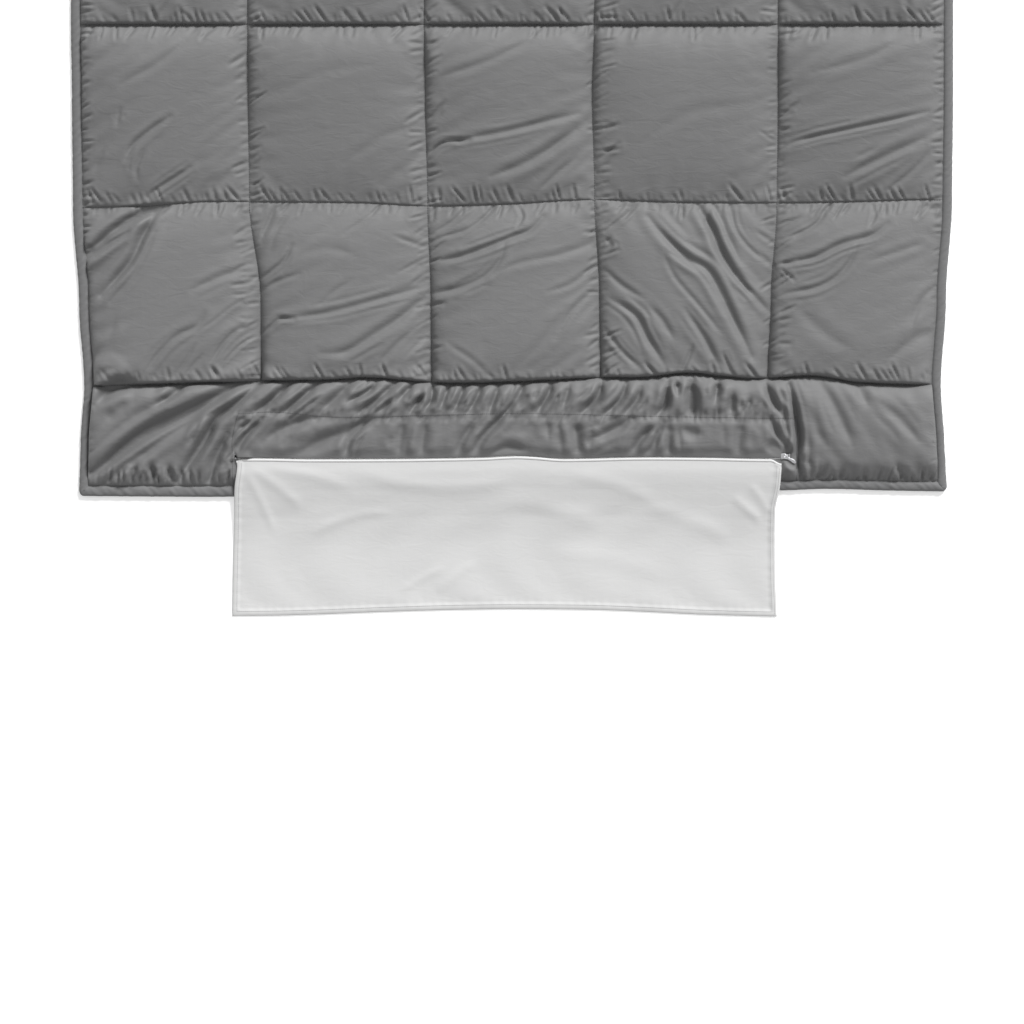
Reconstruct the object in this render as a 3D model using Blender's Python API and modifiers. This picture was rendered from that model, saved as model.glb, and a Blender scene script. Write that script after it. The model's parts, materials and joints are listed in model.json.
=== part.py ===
"""Box-stitched quilt with a zipped foot pocket and a tuck-in panel that comes out of it.

Metres, +Z up. The quilt lies flat on z = 0 with its foot towards -Y. The origin is the middle of
the whole object's footprint, on the surface it lies on.
"""

import math

import bmesh
import bpy
from mathutils import Matrix, Vector

# ---------------------------------------------------------------- driving dimensions
GAP = 0.0003
COLUMNS = 5
ROWS = 5
BOX_WIDTH = 0.346
BOX_LENGTH = 0.3495
BORDER = 0.2175
FOOT_ROWS = 3

FABRIC = 0.0008
LINING = 0.0010
SEAM_FILL = 0.0047
PILLOW_LOFT = 0.0267
PILLOW_RAMP = 0.085
BORDER_LOFT = 0.0121
BORDER_RAMP = 0.018

BINDING_WIDTH = 0.018
BINDING_THICKNESS = 0.0010
THREAD_WIDTH = 0.0010
THREAD_THICKNESS = 0.0006
THREAD_LIFT = 0.0006

POCKET_LEFT = -0.5475
POCKET_RIGHT = 0.5585
POCKET_DEPTH_FROM_FOOT = 0.150
POCKET_MOUTH_LOWER = 0.0655
POCKET_MOUTH_UPPER = 0.0760
POCKET_FLOOR = 0.0070
POCKET_PANEL = 0.0008

ZIP_LOWER_COIL = 0.0670
ZIP_UPPER_COIL = 0.0745
ZIP_LEFT = -0.5395
ZIP_RIGHT = 0.5415
COIL_RADIUS = 0.0012
TAPE_WIDTH = 0.0114
TAPE_THICKNESS = 0.0006
STOP_LENGTH = 0.0027

SLIDER_X = 0.533
SLIDER_LENGTH = 0.0150
SLIDER_SHOULDER = 0.0111
SLIDER_TAIL = 0.0082
PLATE = 0.0013
POST_WIDTH = 0.0024
BRIDGE_RADIUS = 0.0026
BRIDGE_WIRE = 0.0006
PULL_LENGTH = 0.026
PULL_WIDTH = 0.0068
PULL_THICKNESS = 0.0012
PULL_YAW = math.radians(-30.0)

PANEL_LEFT = -0.544
PANEL_RIGHT = 0.524
PANEL_ROOT = 0.0645
PANEL_REACH = 0.238
HEM_WIDTH = 0.012
ROOT_TAPE_WIDTH = 0.0045
LIFT_AXIS_HEIGHT = 0.0250
DROP_AXIS_HEIGHT = 0.0080

# ---------------------------------------------------------------- sizes that follow
WIDTH = COLUMNS * BOX_WIDTH
LENGTH = ROWS * BOX_LENGTH + 2 * BORDER
FOOT_Y = -(LENGTH - PANEL_REACH) / 2
HEAD_Y = FOOT_Y + LENGTH
FOLD_Y = FOOT_Y + BORDER + FOOT_ROWS * BOX_LENGTH

FILL_BOTTOM = LINING + GAP
SEAM_FACE = FILL_BOTTOM + SEAM_FILL + GAP
SEAM_TOP = SEAM_FACE + FABRIC
PILLOW_TOP = SEAM_TOP + PILLOW_LOFT
FOLD_Z = PILLOW_TOP + 2 * GAP
BORDER_TOP = SEAM_TOP + BORDER_LOFT

POCKET_BACK = POCKET_FLOOR + GAP
POCKET_FRONT_TOP = BORDER_TOP - FABRIC - 2 * GAP - TAPE_THICKNESS - GAP
TAPE_BOTTOM = POCKET_FRONT_TOP + GAP
COIL_BOTTOM = TAPE_BOTTOM + TAPE_THICKNESS + GAP
COIL_Z = COIL_BOTTOM + COIL_RADIUS
SLIDER_PLATE_BOTTOM = COIL_BOTTOM + 2 * COIL_RADIUS + GAP
SLIDER_PLATE_TOP = SLIDER_PLATE_BOTTOM + PLATE
SLIDER_UNDER_TOP = POCKET_FRONT_TOP - POCKET_PANEL - GAP
SLIDER_Y = FOOT_Y + (ZIP_LOWER_COIL + ZIP_UPPER_COIL) / 2
PULL_Z = SLIDER_PLATE_TOP + GAP + PULL_THICKNESS / 2

EDGE = BINDING_WIDTH + 0.001
CUT = 0.0005
SEAM_HALF = 0.002
FOLD_THREAD = 0.0012


# ---------------------------------------------------------------- helpers
def clear_scene():
    for thing in list(bpy.data.objects):
        bpy.data.objects.remove(thing, do_unlink=True)


def new_collection(name):
    collection = bpy.data.collections.new(name)
    bpy.context.scene.collection.children.link(collection)
    return collection


def new_material(name, colour, roughness, metallic=0.0):
    material = bpy.data.materials.new(name)
    material.use_nodes = True
    shader = material.node_tree.nodes["Principled BSDF"]
    shader.inputs["Base Color"].default_value = (*colour, 1.0)
    shader.inputs["Roughness"].default_value = roughness
    shader.inputs["Metallic"].default_value = metallic
    material.diffuse_color = (*colour, 1.0)
    return material


def new_object(name, data, material, collection):
    thing = bpy.data.objects.new(name, data)
    collection.objects.link(thing)
    if material is not None:
        data.materials.append(material)
    return thing


def box(name, low, high, material, collection):
    """A block between two corners, with its origin at its middle."""
    low = Vector(low)
    high = Vector(high)
    mesh = bpy.data.meshes.new(name)
    shape = bmesh.new()
    bmesh.ops.create_cube(shape, size=1.0)
    bmesh.ops.scale(shape, verts=shape.verts, vec=high - low)
    shape.to_mesh(mesh)
    shape.free()
    thing = new_object(name, mesh, material, collection)
    thing.location = (low + high) / 2
    return thing


def cutter_box(name, low, high, collection):
    thing = box(name, low, high, None, collection)
    thing.hide_render = True
    thing.display_type = "WIRE"
    return thing


def boolean(target, tool, operation):
    modifier = target.modifiers.new(operation.lower(), "BOOLEAN")
    modifier.operation = operation
    modifier.solver = "EXACT"
    modifier.object = tool


def solidify(target, thickness):
    """Adds the thickness on the upper side, along the surface's normals."""
    modifier = target.modifiers.new("thickness", "SOLIDIFY")
    modifier.thickness = thickness
    modifier.offset = 1.0


def grid(xs, ys, height):
    """A bmesh grid with a vertex at every crossing of the lines xs and ys, raised by height."""
    shape = bmesh.new()
    across = len(xs) - 1
    along = len(ys) - 1
    bmesh.ops.create_grid(shape, x_segments=across, y_segments=along, size=0.5)
    for vertex in shape.verts:
        x = xs[round((vertex.co.x + 0.5) * across)]
        y = ys[round((vertex.co.y + 0.5) * along)]
        vertex.co = (x, y, height(x, y))
    return shape


def pillow_slab(shape, bottom):
    """Closes a raised grid into a solid with a flat underside at the height bottom."""
    made = bmesh.ops.extrude_face_region(shape, geom=shape.faces[:])
    lowered = [part for part in made["geom"] if isinstance(part, bmesh.types.BMVert)]
    for vertex in lowered:
        vertex.co.z = bottom
    flat = [face for face in shape.faces if all(abs(v.co.z - bottom) < 1e-7 for v in face.verts)]
    bmesh.ops.dissolve_faces(shape, faces=flat)
    bmesh.ops.recalc_face_normals(shape, faces=shape.faces)


def mesh_object(name, shape, material, collection):
    mesh = bpy.data.meshes.new(name)
    shape.to_mesh(mesh)
    shape.free()
    return new_object(name, mesh, material, collection)


def outline_curve(name, outlines, half_depth, material, collection, rounding=0.0):
    """A flat outline, with any further outlines as holes, extruded both ways along local Z."""
    curve = bpy.data.curves.new(name, "CURVE")
    curve.dimensions = "2D"
    curve.fill_mode = "BOTH"
    curve.extrude = half_depth - rounding
    curve.bevel_depth = rounding
    curve.bevel_resolution = 1
    curve.offset = -rounding
    for outline in outlines:
        spline = curve.splines.new("POLY")
        spline.points.add(len(outline) - 1)
        for point, place in zip(spline.points, outline):
            point.co = (place[0], place[1], 0.0, 1.0)
        spline.use_cyclic_u = True
    return new_object(name, curve, material, collection)


def tube(name, points, radius, material, collection):
    curve = bpy.data.curves.new(name, "CURVE")
    curve.dimensions = "3D"
    curve.bevel_depth = radius
    curve.bevel_resolution = 2
    curve.use_fill_caps = True
    spline = curve.splines.new("POLY")
    spline.points.add(len(points) - 1)
    for point, place in zip(spline.points, points):
        point.co = (*place, 1.0)
    return new_object(name, curve, material, collection)


def as_mesh(thing, collection):
    """Replaces a curve object by a closed mesh object of the same name and place."""
    name = thing.name
    graph = bpy.context.evaluated_depsgraph_get()
    mesh = bpy.data.meshes.new_from_object(thing.evaluated_get(graph))
    place = thing.matrix_world.copy()
    bpy.data.objects.remove(thing, do_unlink=True)
    shape = bmesh.new()
    shape.from_mesh(mesh)
    bmesh.ops.remove_doubles(shape, verts=shape.verts, dist=0.00001)
    shape.to_mesh(mesh)
    shape.free()
    made = bpy.data.objects.new(name, mesh)
    collection.objects.link(made)
    made.matrix_world = place
    return made


def hide_as_tool(thing):
    thing.hide_render = True
    thing.display_type = "WIRE"


def joint_empty(name, place, collection):
    empty = bpy.data.objects.new(name, None)
    empty.empty_display_size = 0.03
    empty.location = place
    collection.objects.link(empty)
    return empty


def ride(empty, things):
    """Parents the pieces to the empty on their joint's axis and leaves them where they are."""
    bpy.context.view_layer.update()
    for thing in things:
        thing.parent = empty
        thing.matrix_parent_inverse = empty.matrix_world.inverted()


# ---------------------------------------------------------------- the quilt's surface
def seam_lines():
    """The heights' zero lines: the inner edges of the bindings and the stitched lines."""
    across = [-WIDTH / 2 + EDGE]
    across += [-WIDTH / 2 + BOX_WIDTH * column for column in range(1, COLUMNS)]
    across += [WIDTH / 2 - EDGE]
    along = [FOOT_Y + EDGE]
    along += [FOOT_Y + BORDER + BOX_LENGTH * row for row in range(ROWS + 1)]
    along += [HEAD_Y - EDGE]
    return across, along


SEAMS_X, SEAMS_Y = seam_lines()


def ramp(distance, reach):
    return math.sin(math.pi / 2 * min(1.0, max(0.0, distance / reach)))


def between(value, lines):
    """The distance from value to the flat strip along the nearest line."""
    return max(0.0, min(abs(value - line) for line in lines) - SEAM_HALF)


def loft(x, y):
    """How far the fill lifts the face above the seams."""
    from_side = min(x - SEAMS_X[0], SEAMS_X[-1] - x)
    from_end = min(y - SEAMS_Y[0], SEAMS_Y[-1] - y)
    if from_side <= 0.0 or from_end <= 0.0:
        return 0.0
    if y < SEAMS_Y[1] or y > SEAMS_Y[-2]:
        return BORDER_LOFT * ramp(from_side, BORDER_RAMP) * ramp(between(y, SEAMS_Y), BORDER_RAMP)
    return PILLOW_LOFT * ramp(between(x, SEAMS_X), PILLOW_RAMP) * ramp(between(y, SEAMS_Y), PILLOW_RAMP)


def spread(start, stop, shares):
    return [start + (stop - start) * share for share in shares]


def lines_across():
    """Grid lines along X: each box's seams, the foot of its slope and its middle."""
    lines = [-WIDTH / 2 + BINDING_THICKNESS + GAP]
    for start, stop in zip(SEAMS_X, SEAMS_X[1:]):
        lines += spread(start, stop, (0.0, 0.12, 0.5, 0.88))
    lines += [SEAMS_X[-1], WIDTH / 2 - BINDING_THICKNESS - GAP]
    return lines


def row_lines(first, last):
    lines = []
    for row in range(first, last):
        start = FOOT_Y + BORDER + BOX_LENGTH * row
        lines += spread(start, start + BOX_LENGTH, (0.0, 0.12, 0.5, 0.88))
    return lines


def border_lines(outer, inner, direction):
    """Grid lines over a border, from the quilt's outer edge to its first seam."""
    flat = outer + direction * (BINDING_THICKNESS + GAP)
    edge = outer + direction * EDGE
    return [
        flat,
        edge,
        edge + direction * BORDER_RAMP,
        inner - direction * BORDER_RAMP,
    ]


FOOT_BORDER_LINES = border_lines(FOOT_Y, SEAMS_Y[1], 1.0)
HEAD_BORDER_LINES = list(reversed(border_lines(HEAD_Y, SEAMS_Y[-2], -1.0)))


def layer(name, ys, base, thickness, material, collection):
    """A fabric layer that follows the quilting, with its underside at base above the seams."""
    shape = grid(lines_across(), ys, lambda x, y: base + loft(x, y))
    thing = mesh_object(name, shape, material, collection)
    solidify(thing, thickness)
    return thing


def fill(name, ys, material, collection):
    shape = grid(lines_across(), ys, lambda x, y: FILL_BOTTOM + SEAM_FILL + loft(x, y))
    pillow_slab(shape, FILL_BOTTOM)
    return mesh_object(name, shape, material, collection)


# ---------------------------------------------------------------- sub-parts of the quilt
def make_layers(materials, parts, cutters):
    fold_lines = [FOLD_Y - SEAM_HALF, FOLD_Y - CUT]
    foot_lines = FOOT_BORDER_LINES + row_lines(0, FOOT_ROWS) + fold_lines
    head_lines = [FOLD_Y + CUT, FOLD_Y + SEAM_HALF] + row_lines(FOOT_ROWS, ROWS)[1:]
    head_lines += [SEAMS_Y[-2]] + HEAD_BORDER_LINES
    side = WIDTH / 2 - BINDING_WIDTH - GAP

    box(
        "lining_foot_half",
        (-side, FOOT_Y + BINDING_WIDTH + GAP, 0.0),
        (side, FOLD_Y - CUT, LINING),
        materials["lining"],
        parts,
    )
    head_lining = box(
        "lining_head_half",
        (-side, FOLD_Y + CUT, 0.0),
        (side, HEAD_Y - BINDING_WIDTH - GAP, LINING),
        materials["lining"],
        parts,
    )

    border = fill("border_fill", FOOT_BORDER_LINES + [SEAMS_Y[1] - GAP], materials["batting"], parts)
    recess = cutter_box(
        "pocket_recess_cutter",
        (POCKET_LEFT, FOOT_Y + EDGE + BORDER_RAMP, POCKET_FLOOR),
        (POCKET_RIGHT, FOOT_Y + POCKET_DEPTH_FROM_FOOT, PILLOW_TOP),
        cutters,
    )
    boolean(border, recess, "DIFFERENCE")
    fill(
        "fill_foot_rows",
        row_lines(0, FOOT_ROWS) + fold_lines,
        materials["batting"],
        parts,
    )
    head_fill = fill("fill_head_half", head_lines, materials["batting"], parts)

    face = layer("face_fabric_foot_half", foot_lines, SEAM_FACE, FABRIC, materials["face"], parts)
    slot = cutter_box(
        "zip_slot_cutter",
        (ZIP_LEFT - 0.0045, FOOT_Y + 0.0602, SEAM_TOP),
        (ZIP_RIGHT + 0.0050, FOOT_Y + 0.0780, PILLOW_TOP),
        cutters,
    )
    boolean(face, slot, "DIFFERENCE")
    head_face = layer("face_fabric_head_half", head_lines, SEAM_FACE, FABRIC, materials["face"], parts)
    return [head_lining, head_fill, head_face]


def binding_outline():
    """A C-shaped section: local X runs from the quilt's edge inwards, local Y is up."""
    leg = BINDING_WIDTH
    wall = BINDING_THICKNESS
    opening = SEAM_TOP + GAP
    return [
        (0.0, 0.0),
        (leg, 0.0),
        (leg, wall),
        (wall, wall),
        (wall, opening),
        (leg, opening),
        (leg, opening + wall),
        (0.0, opening + wall),
    ]


def binding(name, start, stop, inward, materials, parts):
    """A binding from start to stop along the quilt's edge, open towards the direction inward."""
    start = Vector((*start, 0.0))
    stop = Vector((*stop, 0.0))
    length = (stop - start).length
    made = outline_curve(name, [binding_outline()], length / 2, materials["binding"], parts)
    inward = Vector((*inward, 0.0))
    up = Vector((0.0, 0.0, 1.0))
    turn = Matrix((inward, up, inward.cross(up))).transposed().to_4x4()
    made.matrix_world = Matrix.Translation((start + stop) / 2) @ turn
    return made


def make_bindings(materials, parts):
    side = WIDTH / 2
    inner_foot = FOOT_Y + BINDING_WIDTH + GAP
    inner_head = HEAD_Y - BINDING_WIDTH - GAP
    binding("foot_binding", (-side, FOOT_Y), (side, FOOT_Y), (0, 1), materials, parts)
    head = [binding("head_binding", (-side, HEAD_Y), (side, HEAD_Y), (0, -1), materials, parts)]
    for name, x, inward in (("left", -side, (1, 0)), ("right", side, (-1, 0))):
        binding(
            f"{name}_binding_foot_half",
            (x, inner_foot),
            (x, FOLD_Y - CUT),
            inward,
            materials,
            parts,
        )
        upper = binding(
            f"{name}_binding_head_half",
            (x, FOLD_Y + CUT),
            (x, inner_head),
            inward,
            materials,
            parts,
        )
        head.append(upper)
    return head


def stitch_net(name, rows, ends, materials, parts, cutters):
    """Stitch lines over the seams as one net: lines across at the given rows, and columns between."""
    half = THREAD_WIDTH / 2
    low = SEAM_TOP + THREAD_LIFT
    high = low + THREAD_THICKNESS
    side = WIDTH / 2 - EDGE - GAP
    strips = []
    for number, y in enumerate(rows):
        place = f"{name}_across_{number}" if number else name
        where = cutters if number else parts
        strips.append(box(place, (-side, y - half, low), (side, y + half, high), materials["thread"], where))
    for number, x in enumerate(SEAMS_X[1:-1]):
        strips.append(
            box(
                f"{name}_column_{number}",
                (x - half, ends[0], low),
                (x + half, ends[1], high),
                materials["thread"],
                cutters,
            )
        )
    for strip in strips[1:]:
        hide_as_tool(strip)
        boolean(strips[0], strip, "UNION")
    return strips[0]


def make_stitching(materials, parts, cutters):
    foot_rows = [SEAMS_Y[1 + row] for row in range(FOOT_ROWS)] + [FOLD_Y - FOLD_THREAD]
    half = THREAD_WIDTH / 2
    stitch_net(
        "quilting_thread_foot_half",
        foot_rows,
        (foot_rows[0] - half, foot_rows[-1] + half),
        materials,
        parts,
        cutters,
    )
    head_rows = [SEAMS_Y[2 + FOOT_ROWS], SEAMS_Y[3 + FOOT_ROWS]]
    return stitch_net(
        "quilting_thread_head_half",
        head_rows,
        (FOLD_Y + 2 * CUT, head_rows[-1] + half),
        materials,
        parts,
        cutters,
    )


# ---------------------------------------------------------------- pocket and zip
def make_pocket(materials, parts):
    left = POCKET_LEFT + 2 * GAP
    right = POCKET_RIGHT - 2 * GAP
    near = FOOT_Y + EDGE + BORDER_RAMP + 2 * GAP
    far = FOOT_Y + POCKET_DEPTH_FROM_FOOT - 2 * GAP
    front = POCKET_FRONT_TOP - POCKET_PANEL
    box(
        "pocket_back_panel",
        (left, near, POCKET_BACK),
        (right, far, POCKET_BACK + POCKET_PANEL),
        materials["pocket"],
        parts,
    )
    box(
        "pocket_lower_panel",
        (left, near, front),
        (right, FOOT_Y + POCKET_MOUTH_LOWER, POCKET_FRONT_TOP),
        materials["pocket"],
        parts,
    )
    box(
        "pocket_upper_panel",
        (left, FOOT_Y + POCKET_MOUTH_UPPER, front),
        (right, far, POCKET_FRONT_TOP),
        materials["pocket"],
        parts,
    )

    low = BORDER_TOP + GAP
    width = THREAD_WIDTH
    top = FOOT_Y + POCKET_DEPTH_FROM_FOOT
    foot = FOOT_Y + EDGE + BORDER_RAMP
    outline = [
        (POCKET_LEFT - width, foot),
        (POCKET_LEFT, foot),
        (POCKET_LEFT, top),
        (POCKET_RIGHT, top),
        (POCKET_RIGHT, foot),
        (POCKET_RIGHT + width, foot),
        (POCKET_RIGHT + width, top + width),
        (POCKET_LEFT - width, top + width),
    ]
    stitching = outline_curve(
        "pocket_stitching", [outline], THREAD_THICKNESS / 2, materials["thread"], parts
    )
    stitching.location.z = low + THREAD_THICKNESS / 2


def make_zip(materials, parts):
    for name, coil_y, direction, colour in (
        ("lower", ZIP_LOWER_COIL, -1.0, "zip_white"),
        ("upper", ZIP_UPPER_COIL, 1.0, "zip_grey"),
    ):
        inner = FOOT_Y + coil_y - direction * TAPE_THICKNESS
        outer = inner + direction * TAPE_WIDTH
        box(
            f"zip_{name}_tape",
            (ZIP_LEFT - STOP_LENGTH, min(inner, outer), TAPE_BOTTOM),
            (ZIP_RIGHT + STOP_LENGTH, max(inner, outer), TAPE_BOTTOM + TAPE_THICKNESS),
            materials[colour],
            parts,
        )
        line = [(x, FOOT_Y + coil_y, COIL_Z) for x in (ZIP_LEFT, ZIP_RIGHT)]
        tube(f"zip_{name}_coil", line, COIL_RADIUS, materials[colour], parts)
        box(
            f"zip_{name}_end_stop",
            (ZIP_LEFT - STOP_LENGTH, FOOT_Y + coil_y - COIL_RADIUS, COIL_BOTTOM),
            (ZIP_LEFT - GAP, FOOT_Y + coil_y + COIL_RADIUS, SLIDER_PLATE_BOTTOM - GAP),
            materials["metal"],
            parts,
        )
    box(
        "zip_closed_end_stop",
        (ZIP_RIGHT + GAP, FOOT_Y + ZIP_LOWER_COIL - COIL_RADIUS, COIL_BOTTOM),
        (ZIP_RIGHT + STOP_LENGTH, FOOT_Y + ZIP_UPPER_COIL + COIL_RADIUS, SLIDER_PLATE_BOTTOM - GAP),
        materials["metal"],
        parts,
    )


def slider_outline(shrink):
    """Half the plate mirrored: wide shoulders at -X, a narrow tail at +X."""
    front = -SLIDER_LENGTH / 2 + shrink
    back = SLIDER_LENGTH / 2 - shrink
    shoulder = SLIDER_SHOULDER / 2 - shrink
    tail = SLIDER_TAIL / 2 - shrink
    upper = [
        (front, shoulder * 0.62),
        (front + 0.0012, shoulder * 0.92),
        (front + 0.0032, shoulder),
        (front + 0.0062, shoulder * 0.94),
        (0.0022, tail),
        (back - 0.0012, tail),
        (back, tail * 0.78),
    ]
    lower = [(x, -y) for x, y in reversed(upper)]
    return list(reversed(upper + lower))


def arc(centre_x, centre_z, radius, start, stop, steps):
    points = []
    for step in range(steps + 1):
        angle = start + (stop - start) * step / steps
        points.append((centre_x + radius * math.cos(angle), 0.0, centre_z + radius * math.sin(angle)))
    return points


def make_slider(materials, parts, cutters):
    """One casting: an upper plate and an under plate on a post between the coils, and a bridge."""
    under_bottom = SLIDER_UNDER_TOP - PLATE
    upper = outline_curve(
        "slider_body",
        [slider_outline(0.0)],
        PLATE / 2,
        materials["metal"],
        parts,
        rounding=0.0003,
    )
    upper.location = (SLIDER_X, SLIDER_Y, SLIDER_PLATE_BOTTOM + PLATE / 2)
    under = outline_curve(
        "slider_under_plate",
        [slider_outline(0.0004)],
        PLATE / 2,
        materials["metal"],
        cutters,
        rounding=0.0003,
    )
    under.location = (SLIDER_X, SLIDER_Y, under_bottom + PLATE / 2)
    ends = 0.0010
    feet_z = SLIDER_PLATE_TOP - PLATE / 2
    path = [(-BRIDGE_RADIUS, 0.0, feet_z)]
    path += arc(0.0, PULL_Z, BRIDGE_RADIUS, math.pi, 0.0, 12)
    path += [(BRIDGE_RADIUS, 0.0, feet_z)]
    bridge = tube("slider_bridge", path, BRIDGE_WIRE, materials["metal"], cutters)
    bridge.location = (SLIDER_X, SLIDER_Y, 0.0)
    bpy.context.view_layer.update()
    body = as_mesh(upper, parts)
    tools = [as_mesh(under, cutters), as_mesh(bridge, cutters)]
    post = box(
        "slider_post",
        (
            SLIDER_X - SLIDER_LENGTH / 2 + ends,
            SLIDER_Y - POST_WIDTH / 2,
            under_bottom + PLATE / 2,
        ),
        (
            SLIDER_X - SLIDER_LENGTH / 2 + ends + 0.0040,
            SLIDER_Y + POST_WIDTH / 2,
            SLIDER_PLATE_BOTTOM + PLATE / 2,
        ),
        materials["metal"],
        cutters,
    )
    for tool in tools + [post]:
        hide_as_tool(tool)
        boolean(body, tool, "UNION")
    return body


def make_pull(materials, parts):
    """A flat tab with an eye whose end bar lies under the slider's bridge."""
    half = PULL_WIDTH / 2
    bar = 0.0006
    eye_half = 0.0024
    eye_end = 0.0044
    neck = 0.0022
    tip_radius = half - 0.0004
    tip = PULL_LENGTH - tip_radius - bar
    outer = [(-bar, -half + 0.0008), (0.0002, -half), (eye_end + 0.0010, -half)]
    outer += [(eye_end + 0.0035, -neck), (tip - 0.0080, -neck), (tip - 0.0030, -tip_radius)]
    steps = 8
    for step in range(steps + 1):
        angle = -math.pi / 2 + math.pi * step / steps
        outer.append((tip + tip_radius * math.cos(angle), tip_radius * math.sin(angle)))
    outer += [(tip - 0.0030, tip_radius), (tip - 0.0080, neck), (eye_end + 0.0035, neck)]
    outer += [(eye_end + 0.0010, half), (0.0002, half), (-bar, half - 0.0008)]
    eye = [(bar, -eye_half), (bar, eye_half), (eye_end, eye_half), (eye_end, -eye_half)]
    pull = outline_curve(
        "pull_tab",
        [outer, eye],
        PULL_THICKNESS / 2,
        materials["metal"],
        parts,
        rounding=0.0002,
    )
    pull.location = (SLIDER_X, SLIDER_Y, PULL_Z)
    pull.rotation_euler.z = PULL_YAW
    return pull


# ---------------------------------------------------------------- tuck-in panel
def panel_profiles():
    """The underside of the panel's hem, from the foot outwards: over the border, then on the ground."""
    rest = BORDER_TOP + GAP
    bend = FOOT_Y + 0.0345
    edge = FOOT_Y + 0.0005
    over = SEAM_TOP + GAP + BINDING_THICKNESS + 0.0008
    upper = [(FOOT_Y - 0.0020, over - 0.0007), (edge, over), (bend, rest), (FOOT_Y + PANEL_ROOT, rest)]
    lower = [
        (FOOT_Y - PANEL_REACH, 0.0),
        (FOOT_Y - 0.0450, 0.0),
        (FOOT_Y - 0.0035, over - 0.0010),
    ]
    return upper, lower


def ribbon(name, left, right, profile, lift, material, parts, thickness=FABRIC):
    """A strip of cloth between two X values, along a profile of (y, z) points raised by lift."""
    heights = dict(profile)
    shape = grid([left, right], [y for y, _ in profile], lambda x, y: heights[y] + lift)
    thing = mesh_object(name, shape, material, parts)
    solidify(thing, thickness)
    return thing


def make_panel(materials, parts):
    upper, lower = panel_profiles()
    above_hem = FABRIC + GAP
    hem = materials["panel_hem"]
    lift_parts = [
        ribbon("panel_upper", PANEL_LEFT, PANEL_RIGHT, upper, above_hem, materials["panel"], parts)
    ]
    drop_parts = [
        ribbon("panel_lower", PANEL_LEFT, PANEL_RIGHT, lower, above_hem, materials["panel"], parts)
    ]
    for side, left in (("left", PANEL_LEFT), ("right", PANEL_RIGHT - HEM_WIDTH)):
        right = left + HEM_WIDTH
        lift_parts.append(ribbon(f"panel_{side}_hem_upper", left, right, upper, 0.0, hem, parts))
        drop_parts.append(ribbon(f"panel_{side}_hem_lower", left, right, lower, 0.0, hem, parts))
    far = FOOT_Y - PANEL_REACH
    drop_parts.append(
        box(
            "panel_bottom_hem",
            (PANEL_LEFT + HEM_WIDTH + GAP, far, 0.0),
            (PANEL_RIGHT - HEM_WIDTH - GAP, far + HEM_WIDTH, FABRIC),
            hem,
            parts,
        )
    )

    root = FOOT_Y + PANEL_ROOT
    tape_low = BORDER_TOP + GAP + above_hem + FABRIC + GAP
    lift_parts.append(
        box(
            "panel_top_tape",
            (PANEL_LEFT, root - ROOT_TAPE_WIDTH, tape_low),
            (PANEL_RIGHT, root, tape_low + TAPE_THICKNESS),
            materials["zip_white"],
            parts,
        )
    )

    radius = THREAD_WIDTH / 2
    rise = above_hem + FABRIC + 2 * GAP + radius
    left = PANEL_LEFT + HEM_WIDTH - 0.002
    right = PANEL_RIGHT - HEM_WIDTH + 0.002
    side = [(y, z + rise) for y, z in reversed(lower)]
    side[-1] = (far + HEM_WIDTH - 0.002, side[-1][1])
    path = [(left, y, z) for y, z in side] + [(right, y, z) for y, z in reversed(side)]
    drop_parts.append(tube("panel_hem_thread", path, radius, materials["panel_thread"], parts))
    return lift_parts, drop_parts


# ---------------------------------------------------------------- assembly
def make_materials():
    return {
        "face": new_material("face_fabric", (0.190, 0.190, 0.195), 0.70),
        "lining": new_material("lining_fabric", (0.170, 0.170, 0.175), 0.75),
        "binding": new_material("binding_fabric", (0.160, 0.160, 0.165), 0.75),
        "batting": new_material("batting", (0.850, 0.850, 0.850), 0.95),
        "thread": new_material("quilting_thread", (0.110, 0.110, 0.115), 0.60),
        "pocket": new_material("pocket_fabric", (0.150, 0.150, 0.155), 0.80),
        "zip_white": new_material("zip_white", (0.880, 0.880, 0.880), 0.55),
        "zip_grey": new_material("zip_grey", (0.160, 0.160, 0.165), 0.55),
        "metal": new_material("zip_metal", (0.720, 0.720, 0.740), 0.25, 1.0),
        "panel": new_material("panel_fabric", (0.640, 0.640, 0.640), 0.65),
        "panel_hem": new_material("panel_hem_fabric", (0.620, 0.620, 0.620), 0.65),
        "panel_thread": new_material("panel_thread", (0.520, 0.520, 0.520), 0.55),
    }


def main():
    clear_scene()
    parts = new_collection("camp_quilt")
    cutters = new_collection("cutters")
    materials = make_materials()

    head = make_layers(materials, parts, cutters)
    head += make_bindings(materials, parts)
    head.append(make_stitching(materials, parts, cutters))
    make_pocket(materials, parts)
    make_zip(materials, parts)
    slider = make_slider(materials, parts, cutters)
    pull = make_pull(materials, parts)
    lift_parts, drop_parts = make_panel(materials, parts)

    fold_axis = joint_empty("head_fold_axis", (0.0, FOLD_Y, FOLD_Z), parts)
    ride(fold_axis, head)
    lift_axis = joint_empty(
        "panel_lift_axis",
        ((PANEL_LEFT + PANEL_RIGHT) / 2, FOOT_Y + PANEL_ROOT, LIFT_AXIS_HEIGHT),
        parts,
    )
    ride(lift_axis, lift_parts)
    drop_axis = joint_empty(
        "panel_drop_axis",
        ((PANEL_LEFT + PANEL_RIGHT) / 2, FOOT_Y - 0.0025, DROP_AXIS_HEIGHT),
        parts,
    )
    ride(drop_axis, drop_parts)
    slide_axis = joint_empty("zip_slide_axis", (SLIDER_X, SLIDER_Y, PULL_Z), parts)
    ride(slide_axis, [slider, pull])
    ride(lift_axis, [drop_axis])


main()
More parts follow.
